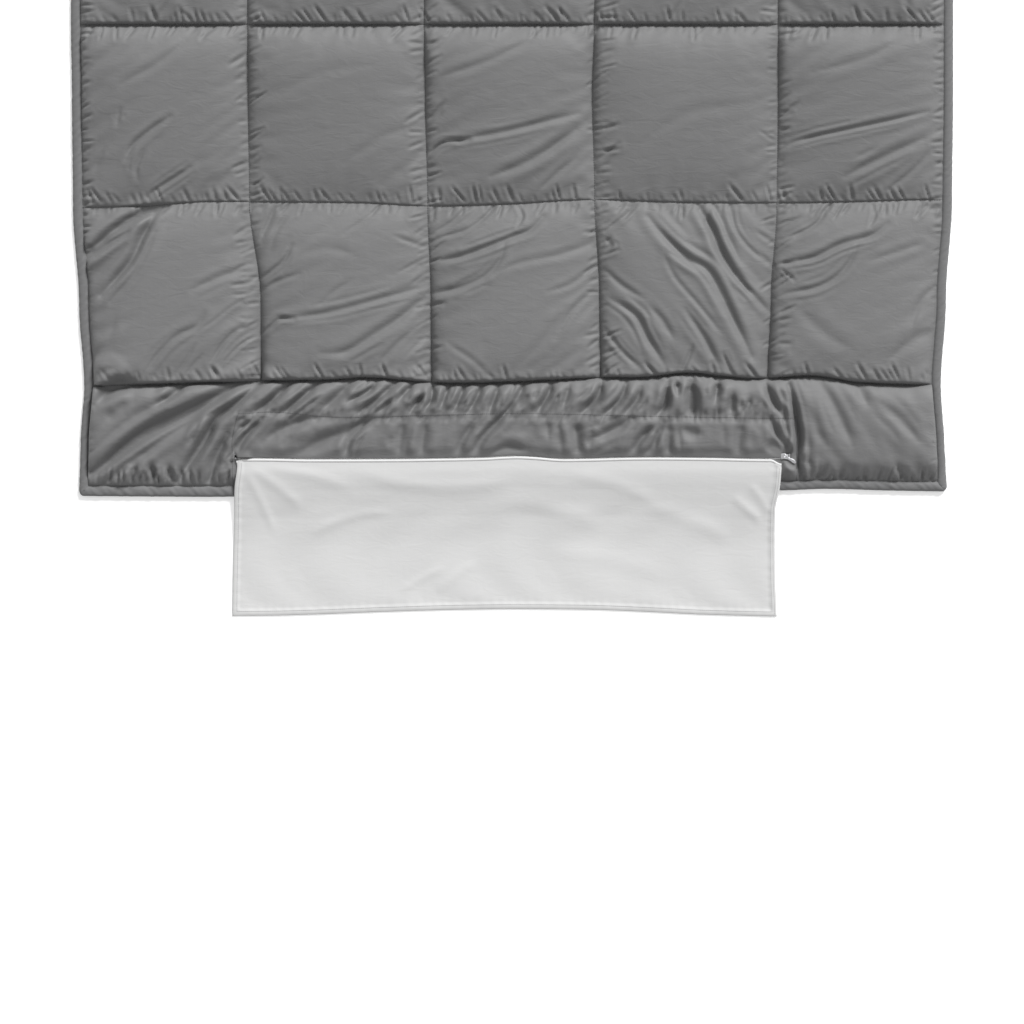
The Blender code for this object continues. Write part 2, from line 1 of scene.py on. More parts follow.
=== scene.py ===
"""Looks of the box-stitched quilt with its zipped foot pocket and its tuck-in panel.

Everything is in metres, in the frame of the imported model. The quilt's foot is towards -Y.
"""

import json
import math

import bpy
import numpy as np
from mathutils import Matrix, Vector


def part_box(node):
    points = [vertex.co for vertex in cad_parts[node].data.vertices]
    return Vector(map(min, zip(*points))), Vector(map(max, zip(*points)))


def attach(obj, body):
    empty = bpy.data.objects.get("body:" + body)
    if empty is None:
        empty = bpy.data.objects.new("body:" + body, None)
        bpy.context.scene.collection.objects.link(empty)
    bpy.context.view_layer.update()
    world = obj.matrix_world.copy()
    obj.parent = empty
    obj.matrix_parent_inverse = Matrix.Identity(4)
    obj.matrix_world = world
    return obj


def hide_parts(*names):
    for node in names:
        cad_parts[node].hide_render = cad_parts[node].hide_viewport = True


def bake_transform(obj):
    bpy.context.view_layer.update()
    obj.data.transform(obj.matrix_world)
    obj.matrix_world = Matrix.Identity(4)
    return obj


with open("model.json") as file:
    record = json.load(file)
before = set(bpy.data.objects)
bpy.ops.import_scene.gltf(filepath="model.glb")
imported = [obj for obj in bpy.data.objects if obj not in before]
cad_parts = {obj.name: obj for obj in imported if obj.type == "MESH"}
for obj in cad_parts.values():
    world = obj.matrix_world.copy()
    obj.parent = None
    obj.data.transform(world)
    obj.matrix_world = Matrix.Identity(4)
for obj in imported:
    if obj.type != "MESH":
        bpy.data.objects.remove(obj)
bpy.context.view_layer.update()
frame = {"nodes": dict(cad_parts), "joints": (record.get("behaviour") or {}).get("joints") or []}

# ---------------------------------------------------------------- places read from the frame
JOINTS = {joint["name"]: joint for joint in frame["joints"]}
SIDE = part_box("foot_binding")[1].x
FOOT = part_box("foot_binding")[0].y
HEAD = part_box("head_binding")[1].y
FOLD = JOINTS["head_fold"]["pos_m"][1]
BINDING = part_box("foot_binding")[1].y - FOOT
SEAM_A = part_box("fill_foot_rows")[0].y
ROW = (FOLD - SEAM_A) / 3
COLUMN = 2 * SIDE / 5
COLUMNS = [-SIDE + COLUMN * number for number in range(1, 5)]
SEAM_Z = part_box("face_fabric_foot_half")[0].z + 0.0008
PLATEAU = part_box("pocket_stitching")[0].z - 0.0003
EDGE = BINDING + 0.001

POCKET_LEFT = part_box("pocket_stitching")[0].x
POCKET_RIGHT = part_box("pocket_stitching")[1].x
POCKET_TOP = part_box("pocket_stitching")[1].y
ZIP_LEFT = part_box("zip_lower_coil")[0].x
ZIP_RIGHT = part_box("zip_lower_coil")[1].x
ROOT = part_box("panel_top_tape")[1].y
SLOT_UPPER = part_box("zip_upper_coil")[1].y + 0.0018
PANEL_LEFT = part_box("panel_lower")[0].x
PANEL_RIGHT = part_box("panel_lower")[1].x
PANEL_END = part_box("panel_lower")[0].y

# The simulation: grid, number of frames, and the frame at which the cloth is drawn in to its seams.
SIM_STEP = 0.0075
SIM_FRAMES = 30
SEWN_FRAME = 8
# How much of each crease the cloth starts with, in the boxes and in the border.
SEED = 0.8
SEED_BORDER = 1.35
# East of this line the border lies flatter: how far it is levelled, and to what height.
CALM_FROM = 0.565
CALM_SHARE = 0.75
CALM_HEIGHT = 0.0095


# ---------------------------------------------------------------- small helpers
def lines_between(stops, step):
    """Lines at every stop, and evenly spaced ones between them about a step apart."""
    lines = [stops[0]]
    for start, stop in zip(stops, stops[1:]):
        count = max(1, round((stop - start) / step))
        lines += [start + (stop - start) * number / count for number in range(1, count + 1)]
    return np.array(lines)


def smooth(value):
    value = np.clip(value, 0.0, 1.0)
    return value * value * (3 - 2 * value)


def grid_faces(rows, columns):
    index = np.arange(rows * columns).reshape(rows, columns)
    corners = (index[:-1, :-1], index[:-1, 1:], index[1:, 1:], index[1:, :-1])
    return np.stack(corners, axis=-1).reshape(-1, 4)


def mesh_from(name, vertices, faces, materials=(), smooth_faces=True):
    """An object from arrays of vertices and of faces that all have the same number of corners."""
    mesh = bpy.data.meshes.new(name)
    corners = faces.shape[1]
    mesh.vertices.add(len(vertices))
    mesh.vertices.foreach_set("co", np.asarray(vertices, np.float32).ravel())
    mesh.loops.add(faces.size)
    mesh.loops.foreach_set("vertex_index", faces.astype(np.int32).ravel())
    mesh.polygons.add(len(faces))
    mesh.polygons.foreach_set("loop_start", np.arange(0, faces.size, corners, dtype=np.int32))
    mesh.polygons.foreach_set("use_smooth", np.full(len(faces), smooth_faces))
    mesh.update(calc_edges=True)
    mesh.validate()
    made = bpy.data.objects.new(name, mesh)
    bpy.context.scene.collection.objects.link(made)
    for material in materials:
        mesh.materials.append(material)
    return made


def cubic(field, at, axis):
    """Reads the field at fractional positions along one axis, with Catmull-Rom curves."""
    count = field.shape[axis]
    whole = np.clip(np.floor(at).astype(int), 0, count - 2)
    part = at - whole
    shape = [1] * field.ndim
    shape[axis] = len(at)
    part = part.reshape(shape)
    near = [np.take(field, np.clip(whole + step, 0, count - 1), axis=axis) for step in (-1, 0, 1, 2)]
    a, b, c, d = near
    return b + 0.5 * part * (c - a + part * (2 * a - 5 * b + 4 * c - d + part * (3 * (b - c) + d - a)))


def resample(field, xs, ys, new_xs, new_ys):
    """Reads a field on the lines xs and ys at the crossings of the lines new_xs and new_ys."""
    rows = np.interp(new_ys, ys, np.arange(len(ys)))
    columns = np.interp(new_xs, xs, np.arange(len(xs)))
    return cubic(cubic(field, rows, 0), columns, 1)


def curve_through(points, at):
    """A smooth curve through (x, value) points, read at the positions given."""
    xs = np.array([point[0] for point in points])
    values = np.array([point[1] for point in points])
    place = np.interp(at, xs, np.arange(len(xs)))
    return cubic(values, np.ravel(place), 0).reshape(np.shape(at))


# ---------------------------------------------------------------- materials
def node(tree, kind, **settings):
    made = tree.nodes.new(kind)
    for name, value in settings.items():
        if name in made.inputs:
            made.inputs[name].default_value = value
        else:
            setattr(made, name, value)
    return made


def new_material(name):
    material = bpy.data.materials.new(name)
    material.use_nodes = True
    return material, material.node_tree, material.node_tree.nodes["Principled BSDF"]


def in_range(tree, source, low, high):
    """The source's 0 to 1, read as low to high."""
    made = node(tree, "ShaderNodeMapRange")
    made.inputs["To Min"].default_value = low
    made.inputs["To Max"].default_value = high
    tree.links.new(source, made.inputs["Value"])
    return made.outputs["Result"]


def tint(tree, shader, colour, source):
    """The colour, times the source, as the shader's base colour."""
    made = node(tree, "ShaderNodeVectorMath", operation="SCALE")
    made.inputs[0].default_value = colour
    tree.links.new(source, made.inputs["Scale"])
    tree.links.new(made.outputs["Vector"], shader.inputs["Base Color"])


def roughen(tree, shader, source, strength, distance):
    """The source as bump on the shader; returns the bump."""
    made = node(tree, "ShaderNodeBump", Strength=strength, Distance=distance)
    tree.links.new(source, made.inputs["Height"])
    tree.links.new(made.outputs["Normal"], shader.inputs["Normal"])
    return made


def fabric(name, colour, roughness, sheen, threads, weave=0.08, mottle=0.05, slub=0.03, crinkle=0.0):
    """Plain-weave cloth: threads each way as bump, soft tone variation, fine slubs and a sheen.

    crinkle is the strength of the fine handling creases that such cloth keeps between its folds.
    """
    material, tree, shader = new_material(name)
    shader.inputs["Sheen Weight"].default_value = sheen
    shader.inputs["Sheen Roughness"].default_value = 0.45
    shader.inputs["Specular IOR Level"].default_value = 0.30
    place = node(tree, "ShaderNodeTexCoord")
    link = tree.links.new

    def bands(direction):
        wave = node(tree, "ShaderNodeTexWave", wave_type="BANDS", bands_direction=direction)
        wave.inputs["Scale"].default_value = threads
        wave.inputs["Distortion"].default_value = 0.6
        wave.inputs["Detail"].default_value = 1.0
        wave.inputs["Detail Scale"].default_value = 2.0
        link(place.outputs["Object"], wave.inputs["Vector"])
        return wave

    across = bands("X")
    along = bands("Y")
    weave_height = node(tree, "ShaderNodeMath", operation="ADD")
    link(across.outputs["Fac"], weave_height.inputs[0])
    link(along.outputs["Fac"], weave_height.inputs[1])

    stretch = node(tree, "ShaderNodeMapping")
    stretch.inputs["Scale"].default_value = (260.0, 9.0, 40.0)
    link(place.outputs["Object"], stretch.inputs["Vector"])
    slubs = node(tree, "ShaderNodeTexNoise", Scale=1.0, Detail=3.0, Roughness=0.6)
    link(stretch.outputs["Vector"], slubs.inputs["Vector"])
    tone = node(tree, "ShaderNodeTexNoise", Scale=3.5, Detail=4.0, Roughness=0.55)
    link(place.outputs["Object"], tone.inputs["Vector"])

    mixed = node(tree, "ShaderNodeMath", operation="MULTIPLY_ADD")
    link(slubs.outputs["Fac"], mixed.inputs[0])
    mixed.inputs[1].default_value = slub * 2
    mixed.inputs[2].default_value = 1.0 - slub
    toned = node(tree, "ShaderNodeMath", operation="MULTIPLY_ADD")
    link(tone.outputs["Fac"], toned.inputs[0])
    toned.inputs[1].default_value = mottle * 2
    toned.inputs[2].default_value = 1.0 - mottle
    factor = node(tree, "ShaderNodeMath", operation="MULTIPLY")
    link(mixed.outputs["Value"], factor.inputs[0])
    link(toned.outputs["Value"], factor.inputs[1])
    tint(tree, shader, colour, factor.outputs["Value"])
    rough = in_range(tree, tone.outputs["Fac"], roughness - 0.06, roughness + 0.06)
    link(rough, shader.inputs["Roughness"])

    bump = roughen(tree, shader, weave_height.outputs["Value"], weave, 0.0004)
    if crinkle:
        turn = node(tree, "ShaderNodeMapping")
        turn.inputs["Rotation"].default_value = (0.0, 0.0, -0.65)
        turn.inputs["Scale"].default_value = (26.0, 62.0, 30.0)
        link(place.outputs["Object"], turn.inputs["Vector"])
        soft = node(tree, "ShaderNodeTexNoise", Scale=1.0, Detail=3.5, Roughness=0.55, Distortion=0.9)
        link(turn.outputs["Vector"], soft.inputs["Vector"])
        creased = node(tree, "ShaderNodeBump", Strength=crinkle, Distance=0.0035)
        link(soft.outputs["Fac"], creased.inputs["Height"])
        link(creased.outputs["Normal"], bump.inputs["Normal"])
    return material


def plastic(name, colour, roughness):
    """Nylon zip coil: a faint grain in tone and surface."""
    material, tree, shader = new_material(name)
    place = node(tree, "ShaderNodeTexCoord")
    grain = node(tree, "ShaderNodeTexNoise", Scale=900.0, Detail=2.0)
    tree.links.new(place.outputs["Object"], grain.inputs["Vector"])
    tint(tree, shader, colour, in_range(tree, grain.outputs["Fac"], 0.92, 1.05))
    shader.inputs["Roughness"].default_value = roughness
    roughen(tree, shader, grain.outputs["Fac"], 0.1, 0.0001)
    return material


def plated_metal(name):
    """Nickel plating over a die casting: bright, with fine scratches and duller wear."""
    material, tree, shader = new_material(name)
    shader.inputs["Metallic"].default_value = 1.0
    place = node(tree, "ShaderNodeTexCoord")
    stretch = node(tree, "ShaderNodeMapping")
    stretch.inputs["Scale"].default_value = (300.0, 2600.0, 900.0)
    tree.links.new(place.outputs["Object"], stretch.inputs["Vector"])
    scratch = node(tree, "ShaderNodeTexNoise", Scale=1.0, Detail=4.0)
    tree.links.new(stretch.outputs["Vector"], scratch.inputs["Vector"])
    tree.links.new(in_range(tree, scratch.outputs["Fac"], 0.18, 0.42), shader.inputs["Roughness"])
    tint(tree, shader, (0.80, 0.80, 0.82), in_range(tree, scratch.outputs["Fac"], 0.85, 1.05))
    roughen(tree, shader, scratch.outputs["Fac"], 0.15, 0.0001)
    return material


FACE = fabric("face_cloth", (0.166, 0.166, 0.167), 0.62, 0.10, 900.0, crinkle=0.30)
LINING = fabric("lining_cloth", (0.165, 0.165, 0.168), 0.68, 0.08, 900.0)
BINDING_CLOTH = fabric("binding_cloth", (0.160, 0.160, 0.162), 0.66, 0.08, 1100.0, crinkle=0.25)
POCKET_CLOTH = fabric("pocket_cloth", (0.120, 0.120, 0.122), 0.72, 0.05, 900.0)
PANEL_CLOTH = fabric(
    "panel_cloth_weave", (0.612, 0.612, 0.610), 0.60, 0.06, 900.0, mottle=0.02, slub=0.015, crinkle=0.12
)
TAPE_WHITE = fabric("tape_white", (0.740, 0.740, 0.740), 0.62, 0.0, 1600.0, weave=0.25, mottle=0.02)
TAPE_GREY = fabric("tape_grey", (0.130, 0.130, 0.132), 0.70, 0.0, 1600.0, weave=0.25)
THREAD = fabric("thread", (0.085, 0.085, 0.087), 0.50, 0.0, 3000.0, weave=0.3)
PANEL_THREAD = fabric("panel_thread", (0.430, 0.430, 0.430), 0.50, 0.0, 3000.0, weave=0.3)
COIL_WHITE = plastic("coil_white", (0.740, 0.740, 0.740), 0.35)
COIL_GREY = plastic("coil_grey", (0.110, 0.110, 0.112), 0.40)
METAL = plated_metal("zip_plating")


# ---------------------------------------------------------------- how the quilt lies
# Each level is a height along the quilt and the sideways shift of the side edges and of the four
# column seams there: the foot was gathered towards the middle when the quilt was laid out.
LEVEL_SHIFTS = (
    (FOOT, (0.016, 0.002, 0.001, 0.000, -0.001, -0.012)),
    (ROOT - 0.004, (0.018, 0.000, 0.000, 0.000, 0.000, -0.015)),
    (SLOT_UPPER + 0.014, (0.019, 0.000, 0.000, 0.000, 0.000, -0.017)),
    (SEAM_A, (0.026, 0.029, 0.016, 0.001, -0.018, -0.024)),
    (SEAM_A + 0.16, (0.016, 0.027, 0.014, -0.002, -0.012, -0.014)),
    (SEAM_A + ROW, (0.004, 0.005, 0.008, -0.011, 0.000, -0.002)),
    (SEAM_A + 1.6 * ROW, (0.002, 0.002, 0.003, -0.016, 0.002, 0.000)),
    (SEAM_A + 2 * ROW, (0.000, 0.001, 0.001, -0.012, 0.002, 0.000)),
    (FOLD, (0.0, 0.0, 0.0, 0.0, 0.0, 0.0)),
    (HEAD, (0.0, 0.0, 0.0, 0.0, 0.0, 0.0)),
)
# How far each row seam lies from its straight line, along the quilt's width.
SEAM_A_WAVE = (
    (-SIDE, -0.009), (-0.78, -0.007), (-0.64, -0.003), (-0.49, 0.001), (-0.38, 0.003), (-0.30, 0.007),
    (-0.157, -0.003), (-0.02, -0.001), (0.175, 0.007), (0.26, 0.008), (0.357, 0.016), (0.42, 0.010),
    (0.50, 0.005), (0.61, 0.011), (0.69, -0.001), (0.80, -0.006), (SIDE, -0.006),
)
SEAM_B_WAVE = (
    (-SIDE, -0.009), (-0.72, -0.006), (-0.61, 0.002), (-0.50, 0.002), (-0.30, 0.000), (-0.17, -0.006),
    (0.0, -0.002), (0.16, 0.006), (0.34, 0.001), (0.52, 0.000), (0.66, 0.002), (0.80, 0.006), (SIDE, 0.006),
)
FOOT_WAVE = (
    (-SIDE, -0.008), (-0.70, -0.009), (-0.55, -0.009), (-0.2, -0.002), (0.2, 0.002), (0.53, 0.003),
    (0.62, 0.006), (0.74, 0.003), (SIDE, 0.001),
)
ZIP_WAVE = (
    (-SIDE, 0.0), (-0.54, 0.0), (-0.49, 0.0), (-0.41, -0.0015), (-0.22, -0.0012), (-0.14, 0.0),
    (-0.06, 0.0015), (0.0, 0.0045), (0.04, 0.003), (0.095, -0.001), (0.25, 0.002), (0.39, 0.001),
    (0.49, -0.001), (0.53, 0.0), (SIDE, 0.0),
)
POCKET_WAVE = (
    (-SIDE, 0.0), (-0.54, 0.003), (-0.48, 0.006), (-0.35, -0.004), (-0.16, 0.000), (0.02, 0.003),
    (0.32, -0.003), (0.54, -0.006), (SIDE, -0.006),
)


def laid_out(x, y):
    """Where the points (x, y) of the flat pattern lie on the quilt as it is spread out."""
    stops = np.array([-SIDE, *COLUMNS, SIDE])
    levels = np.array([level for level, _ in LEVEL_SHIFTS])
    shifts = np.array([values for _, values in LEVEL_SHIFTS])
    rows = np.interp(y, levels, np.arange(len(levels)))
    whole = np.clip(np.floor(rows).astype(int), 0, len(levels) - 2)
    part = smooth(rows - whole)
    column = np.interp(x, stops, np.arange(len(stops)))
    low = np.clip(np.floor(column).astype(int), 0, len(stops) - 2)
    share = column - low
    lower = shifts[whole, low] * (1 - share) + shifts[whole, low + 1] * share
    upper = shifts[whole + 1, low] * (1 - share) + shifts[whole + 1, low + 1] * share
    dx = lower * (1 - part) + upper * part

    waves = (
        (FOOT, FOOT_WAVE),
        (ROOT, ZIP_WAVE),
        (SLOT_UPPER, ZIP_WAVE),
        (POCKET_TOP, POCKET_WAVE),
        (SEAM_A, SEAM_A_WAVE),
        (SEAM_A + ROW, SEAM_B_WAVE),
        (SEAM_A + 2 * ROW, ((-SIDE, 0.0), (SIDE, 0.0))),
        (HEAD, ((-SIDE, 0.0), (SIDE, 0.0))),
    )
    heights = np.array([height for height, _ in waves])
    rows = np.interp(y, heights, np.arange(len(heights)))
    whole = np.clip(np.floor(rows).astype(int), 0, len(heights) - 2)
    part = smooth(rows - whole)
    values = np.stack([curve_through(points, x) if len(points) > 2 else 0.0 * x for _, points in waves])
    lower = np.take_along_axis(values, whole[None], axis=0)[0]
    upper = np.take_along_axis(values, whole[None] + 1, axis=0)[0]
    dy = lower * (1 - part) + upper * part
    return x + dx, y + dy


# ---------------------------------------------------------------- cloth simulation
def on_line(values, line, tolerance=0.0005):
    return np.abs(values - line) < tolerance


# Creases of the foot half, each a valley through a few points: width and depth in millimetres,
# then the points. In the boxes a point is a share of the box across and up from its lower left
# corner; in the border it is metres across from the quilt's middle and down from the seam.
BOX_CREASES = {
    (0, 0): (
        (9, 8.0, (0.02, 0.64), (0.20, 0.80), (0.36, 0.91), (0.56, 0.985)),
        (6, 4.5, (0.04, 0.66), (0.18, 0.74), (0.33, 0.83)),
        (8, 7.0, (0.18, 0.48), (0.35, 0.67), (0.42, 0.82), (0.51, 0.97)),
        (6, 1.8, (0.69, 0.51), (0.84, 0.58), (0.94, 0.61), (1.02, 0.61)),
        (6, 2.6, (0.42, 0.03), (0.49, 0.14), (0.60, 0.25), (0.72, 0.31), (0.76, 0.38)),
        (3, 1.0, (0.72, 0.28), (0.80, 0.33), (0.93, 0.43), (1.04, 0.48)),
        (5, 2.6, (0.80, 0.11), (0.88, 0.23), (0.97, 0.31)),
        (3, 2.0, (0.86, 0.04), (0.87, 0.10), (0.94, 0.18), (1.06, 0.27)),
        (3, 1.4, (0.60, 0.03), (0.67, 0.14), (0.71, 0.21)),
        (3, 1.4, (0.66, 0.03), (0.70, 0.09), (0.75, 0.15)),
        (7, 1.2, (0.10, 0.10), (0.22, 0.22), (0.26, 0.36)),
    ),
    (0, 1): (
        (4, 2.6, (0.06, 0.56), (0.15, 0.62), (0.22, 0.68), (0.26, 0.76)),
        (4, 1.6, (0.06, 0.47), (0.14, 0.54), (0.30, 0.60)),
        (4, 3.4, (0.08, 0.26), (0.14, 0.31), (0.19, 0.35), (0.27, 0.35)),
        (6, 2.4, (0.20, 0.35), (0.45, 0.38), (0.75, 0.46), (0.96, 0.52)),
        (8, 3.0, (0.42, 0.16), (0.56, 0.17), (0.73, 0.27), (0.87, 0.36), (1.0, 0.47)),
        (5, 1.4, (0.72, 0.06), (0.82, 0.18), (0.95, 0.30)),
        (4, 1.2, (0.90, 0.14), (1.01, 0.25)),
        (5, 2.2, (0.08, 0.79), (0.13, 0.90), (0.16, 0.98)),
        (5, 1.6, (0.13, 0.74), (0.18, 0.86), (0.24, 0.94)),
        (5, 1.2, (0.42, 0.43), (0.50, 0.50), (0.59, 0.56)),
        (4, 1.1, (0.55, 0.82), (0.68, 0.91), (0.75, 0.98)),
        (4, 1.3, (1.02, 0.75), (0.92, 0.78), (0.83, 0.81)),
        (3, 1.2, (1.03, 0.70), (0.95, 0.66), (0.86, 0.61)),
        (9, 1.0, (0.30, 0.70), (0.45, 0.74), (0.62, 0.70)),
    ),
    (0, 2): (
        (6, 4.0, (0.04, 0.67), (0.20, 0.69), (0.35, 0.74), (0.50, 0.80), (0.60, 0.84), (0.68, 0.92)),
        (6, 3.2, (0.04, 0.49), (0.20, 0.52), (0.34, 0.58), (0.43, 0.67), (0.46, 0.76)),
        (4, 1.8, (0.05, 0.83), (0.17, 0.90), (0.26, 0.99)),
        (4, 2.6, (0.08, 0.80), (0.26, 0.85), (0.37, 0.94), (0.43, 1.0)),
        (3, 2.4, (0.53, 0.99), (0.56, 0.92), (0.53, 0.86)),
        (6, 1.4, (0.40, 0.60), (0.55, 0.66), (0.78, 0.71), (0.96, 0.78)),
        (5, 1.4, (0.70, 0.50), (0.84, 0.55), (0.98, 0.66)),
        (5, 1.6, (0.74, 0.24), (0.84, 0.40), (0.97, 0.52)),
        (5, 1.2, (0.14, 0.21), (0.28, 0.12), (0.36, 0.04)),
        (3, 1.8, (0.04, 0.72), (0.12, 0.78)),
        (8, 1.3, (0.55, 0.10), (0.70, 0.26), (0.80, 0.40)),
        (4, 2.4, (0.02, 0.42), (0.12, 0.44)),
    ),
    (0, 3): (
        (8, 6.0, (0.55, 0.99), (0.63, 0.85), (0.70, 0.68), (0.83, 0.50)),
        (8, 5.5, (0.27, 0.92), (0.34, 0.83), (0.48, 0.69), (0.60, 0.62), (0.68, 0.48), (0.77, 0.30),
         (0.85, 0.14)),
        (4, 1.6, (0.36, 0.70), (0.42, 0.58), (0.54, 0.44), (0.68, 0.27)),
        (7, 3.2, (0.48, 0.40), (0.58, 0.25), (0.66, 0.10)),
        (7, 3.2, (0.06, 0.46), (0.20, 0.37), (0.26, 0.26), (0.36, 0.09)),
        (6, 2.4, (0.28, 0.42), (0.35, 0.34), (0.41, 0.24)),
        (5, 2.0, (0.02, 0.30), (0.12, 0.17), (0.23, 0.07)),
        (5, 1.6, (0.02, 0.63), (0.12, 0.54), (0.25, 0.46)),
        (4, 2.0, (0.74, 0.99), (0.76, 0.86), (0.83, 0.76), (0.94, 0.66)),
        (6, 2.8, (0.79, 0.56), (0.87, 0.47), (0.96, 0.38)),
        (4, 2.4, (0.03, 0.84), (0.13, 0.92), (0.19, 1.0)),
        (5, 2.0, (0.02, 0.72), (0.06, 0.76), (0.03, 0.80)),
        (4, 2.6, (0.45, 0.03), (0.49, 0.12), (0.52, 0.20)),
        (4, 2.6, (0.69, 0.16), (0.74, 0.03)),
        (4, 1.6, (0.62, 0.98), (0.60, 0.88)),
        (4, 1.6, (0.88, 0.84), (0.99, 0.77)),
        (4, 1.4, (0.90, 0.72), (1.0, 0.62)),
    ),
    (0, 4): (
        (6, 3.8, (0.04, 0.66), (0.21, 0.69), (0.36, 0.76), (0.53, 0.81), (0.62, 0.88)),
        (6, 3.0, (0.04, 0.49), (0.21, 0.52), (0.33, 0.58), (0.41, 0.67), (0.45, 0.75)),
        (4, 1.8, (0.03, 0.86), (0.13, 0.92)),
        (4, 2.4, (0.05, 0.80), (0.21, 0.87), (0.30, 0.99)),
        (3, 2.4, (0.54, 0.99), (0.55, 0.92), (0.52, 0.86)),
        (6, 1.3, (0.52, 0.67), (0.70, 0.73), (0.82, 0.77)),
        (6, 1.6, (0.74, 0.26), (0.80, 0.44), (0.90, 0.54)),
        (12, 1.6, (0.12, 0.40), (0.28, 0.26), (0.42, 0.18)),
        (3, 2.2, (0.02, 0.63), (0.10, 0.56)),
        (10, 1.2, (0.60, 0.10), (0.74, 0.22), (0.92, 0.30)),
    ),
    (1, 0): (
        (5, 3.0, (0.57, 0.48), (0.47, 0.41), (0.36, 0.32), (0.32, 0.24)),
        (5, 2.6, (0.68, 0.20), (0.59, 0.14), (0.48, 0.07), (0.45, 0.03)),
        (5, 1.8, (0.42, 0.29), (0.38, 0.20), (0.38, 0.13)),
        (5, 1.8, (0.29, 0.52), (0.27, 0.43)),
        (5, 1.4, (0.20, 0.30), (0.14, 0.18)),
        (7, 1.6, (0.30, 0.66), (0.52, 0.78), (0.66, 0.90)),
    ),
    (1, 1): (
        (3, 1.6, (0.02, 0.18), (0.08, 0.25)),
        (10, 0.8, (0.20, 0.60), (0.42, 0.72), (0.70, 0.76)),
        (8, 0.7, (0.55, 0.22), (0.75, 0.36), (0.92, 0.42)),
    ),
    (1, 2): (
        (4, 4.2, (0.02, 0.25), (0.07, 0.31), (0.13, 0.34), (0.26, 0.35)),
        (6, 2.6, (0.20, 0.35), (0.43, 0.39), (0.60, 0.43), (0.88, 0.50)),
        (8, 3.2, (0.38, 0.15), (0.54, 0.21), (0.69, 0.29), (0.86, 0.41)),
        (4, 2.0, (0.03, 0.46), (0.12, 0.56)),
        (5, 1.3, (0.65, 0.07), (0.77, 0.18), (0.86, 0.25)),
        (7, 1.8, (0.10, 0.70), (0.36, 0.78), (0.60, 0.90)),
    ),
    (1, 3): (
        (3, 1.6, (0.98, 0.35), (0.90, 0.40)),
        (10, 0.8, (0.25, 0.35), (0.50, 0.50), (0.80, 0.55)),
    ),
    (1, 4): (
        (5, 3.4, (0.04, 0.31), (0.13, 0.35), (0.36, 0.40), (0.60, 0.45), (0.85, 0.51)),
        (8, 3.0, (0.38, 0.15), (0.58, 0.25), (0.82, 0.36)),
        (4, 2.0, (0.02, 0.48), (0.12, 0.56)),
        (5, 1.3, (0.62, 0.07), (0.76, 0.18), (0.84, 0.27)),
        (8, 1.6, (0.20, 0.72), (0.50, 0.80), (0.72, 0.92)),
    ),
    (2, 0): ((7, 2.4, (0.20, 0.30), (0.45, 0.42), (0.70, 0.46)), (6, 1.8, (0.5, 0.03), (0.62, 0.20))),
    (2, 1): ((7, 2.2, (0.05, 0.62), (0.30, 0.70), (0.62, 0.66)), (6, 2.0, (0.70, 0.97), (0.82, 0.74))),
    (2, 2): ((6, 2.0, (0.96, 0.30), (0.70, 0.36), (0.48, 0.30)), (6, 1.8, (0.20, 0.97), (0.30, 0.75))),
    (2, 3): ((7, 2.4, (0.04, 0.40), (0.28, 0.52), (0.60, 0.56)), (5, 1.8, (0.40, 0.03), (0.50, 0.18))),
    (2, 4): ((6, 2.2, (0.10, 0.75), (0.36, 0.62), (0.66, 0.60)), (6, 1.6, (0.75, 0.03), (0.70, 0.24))),
}
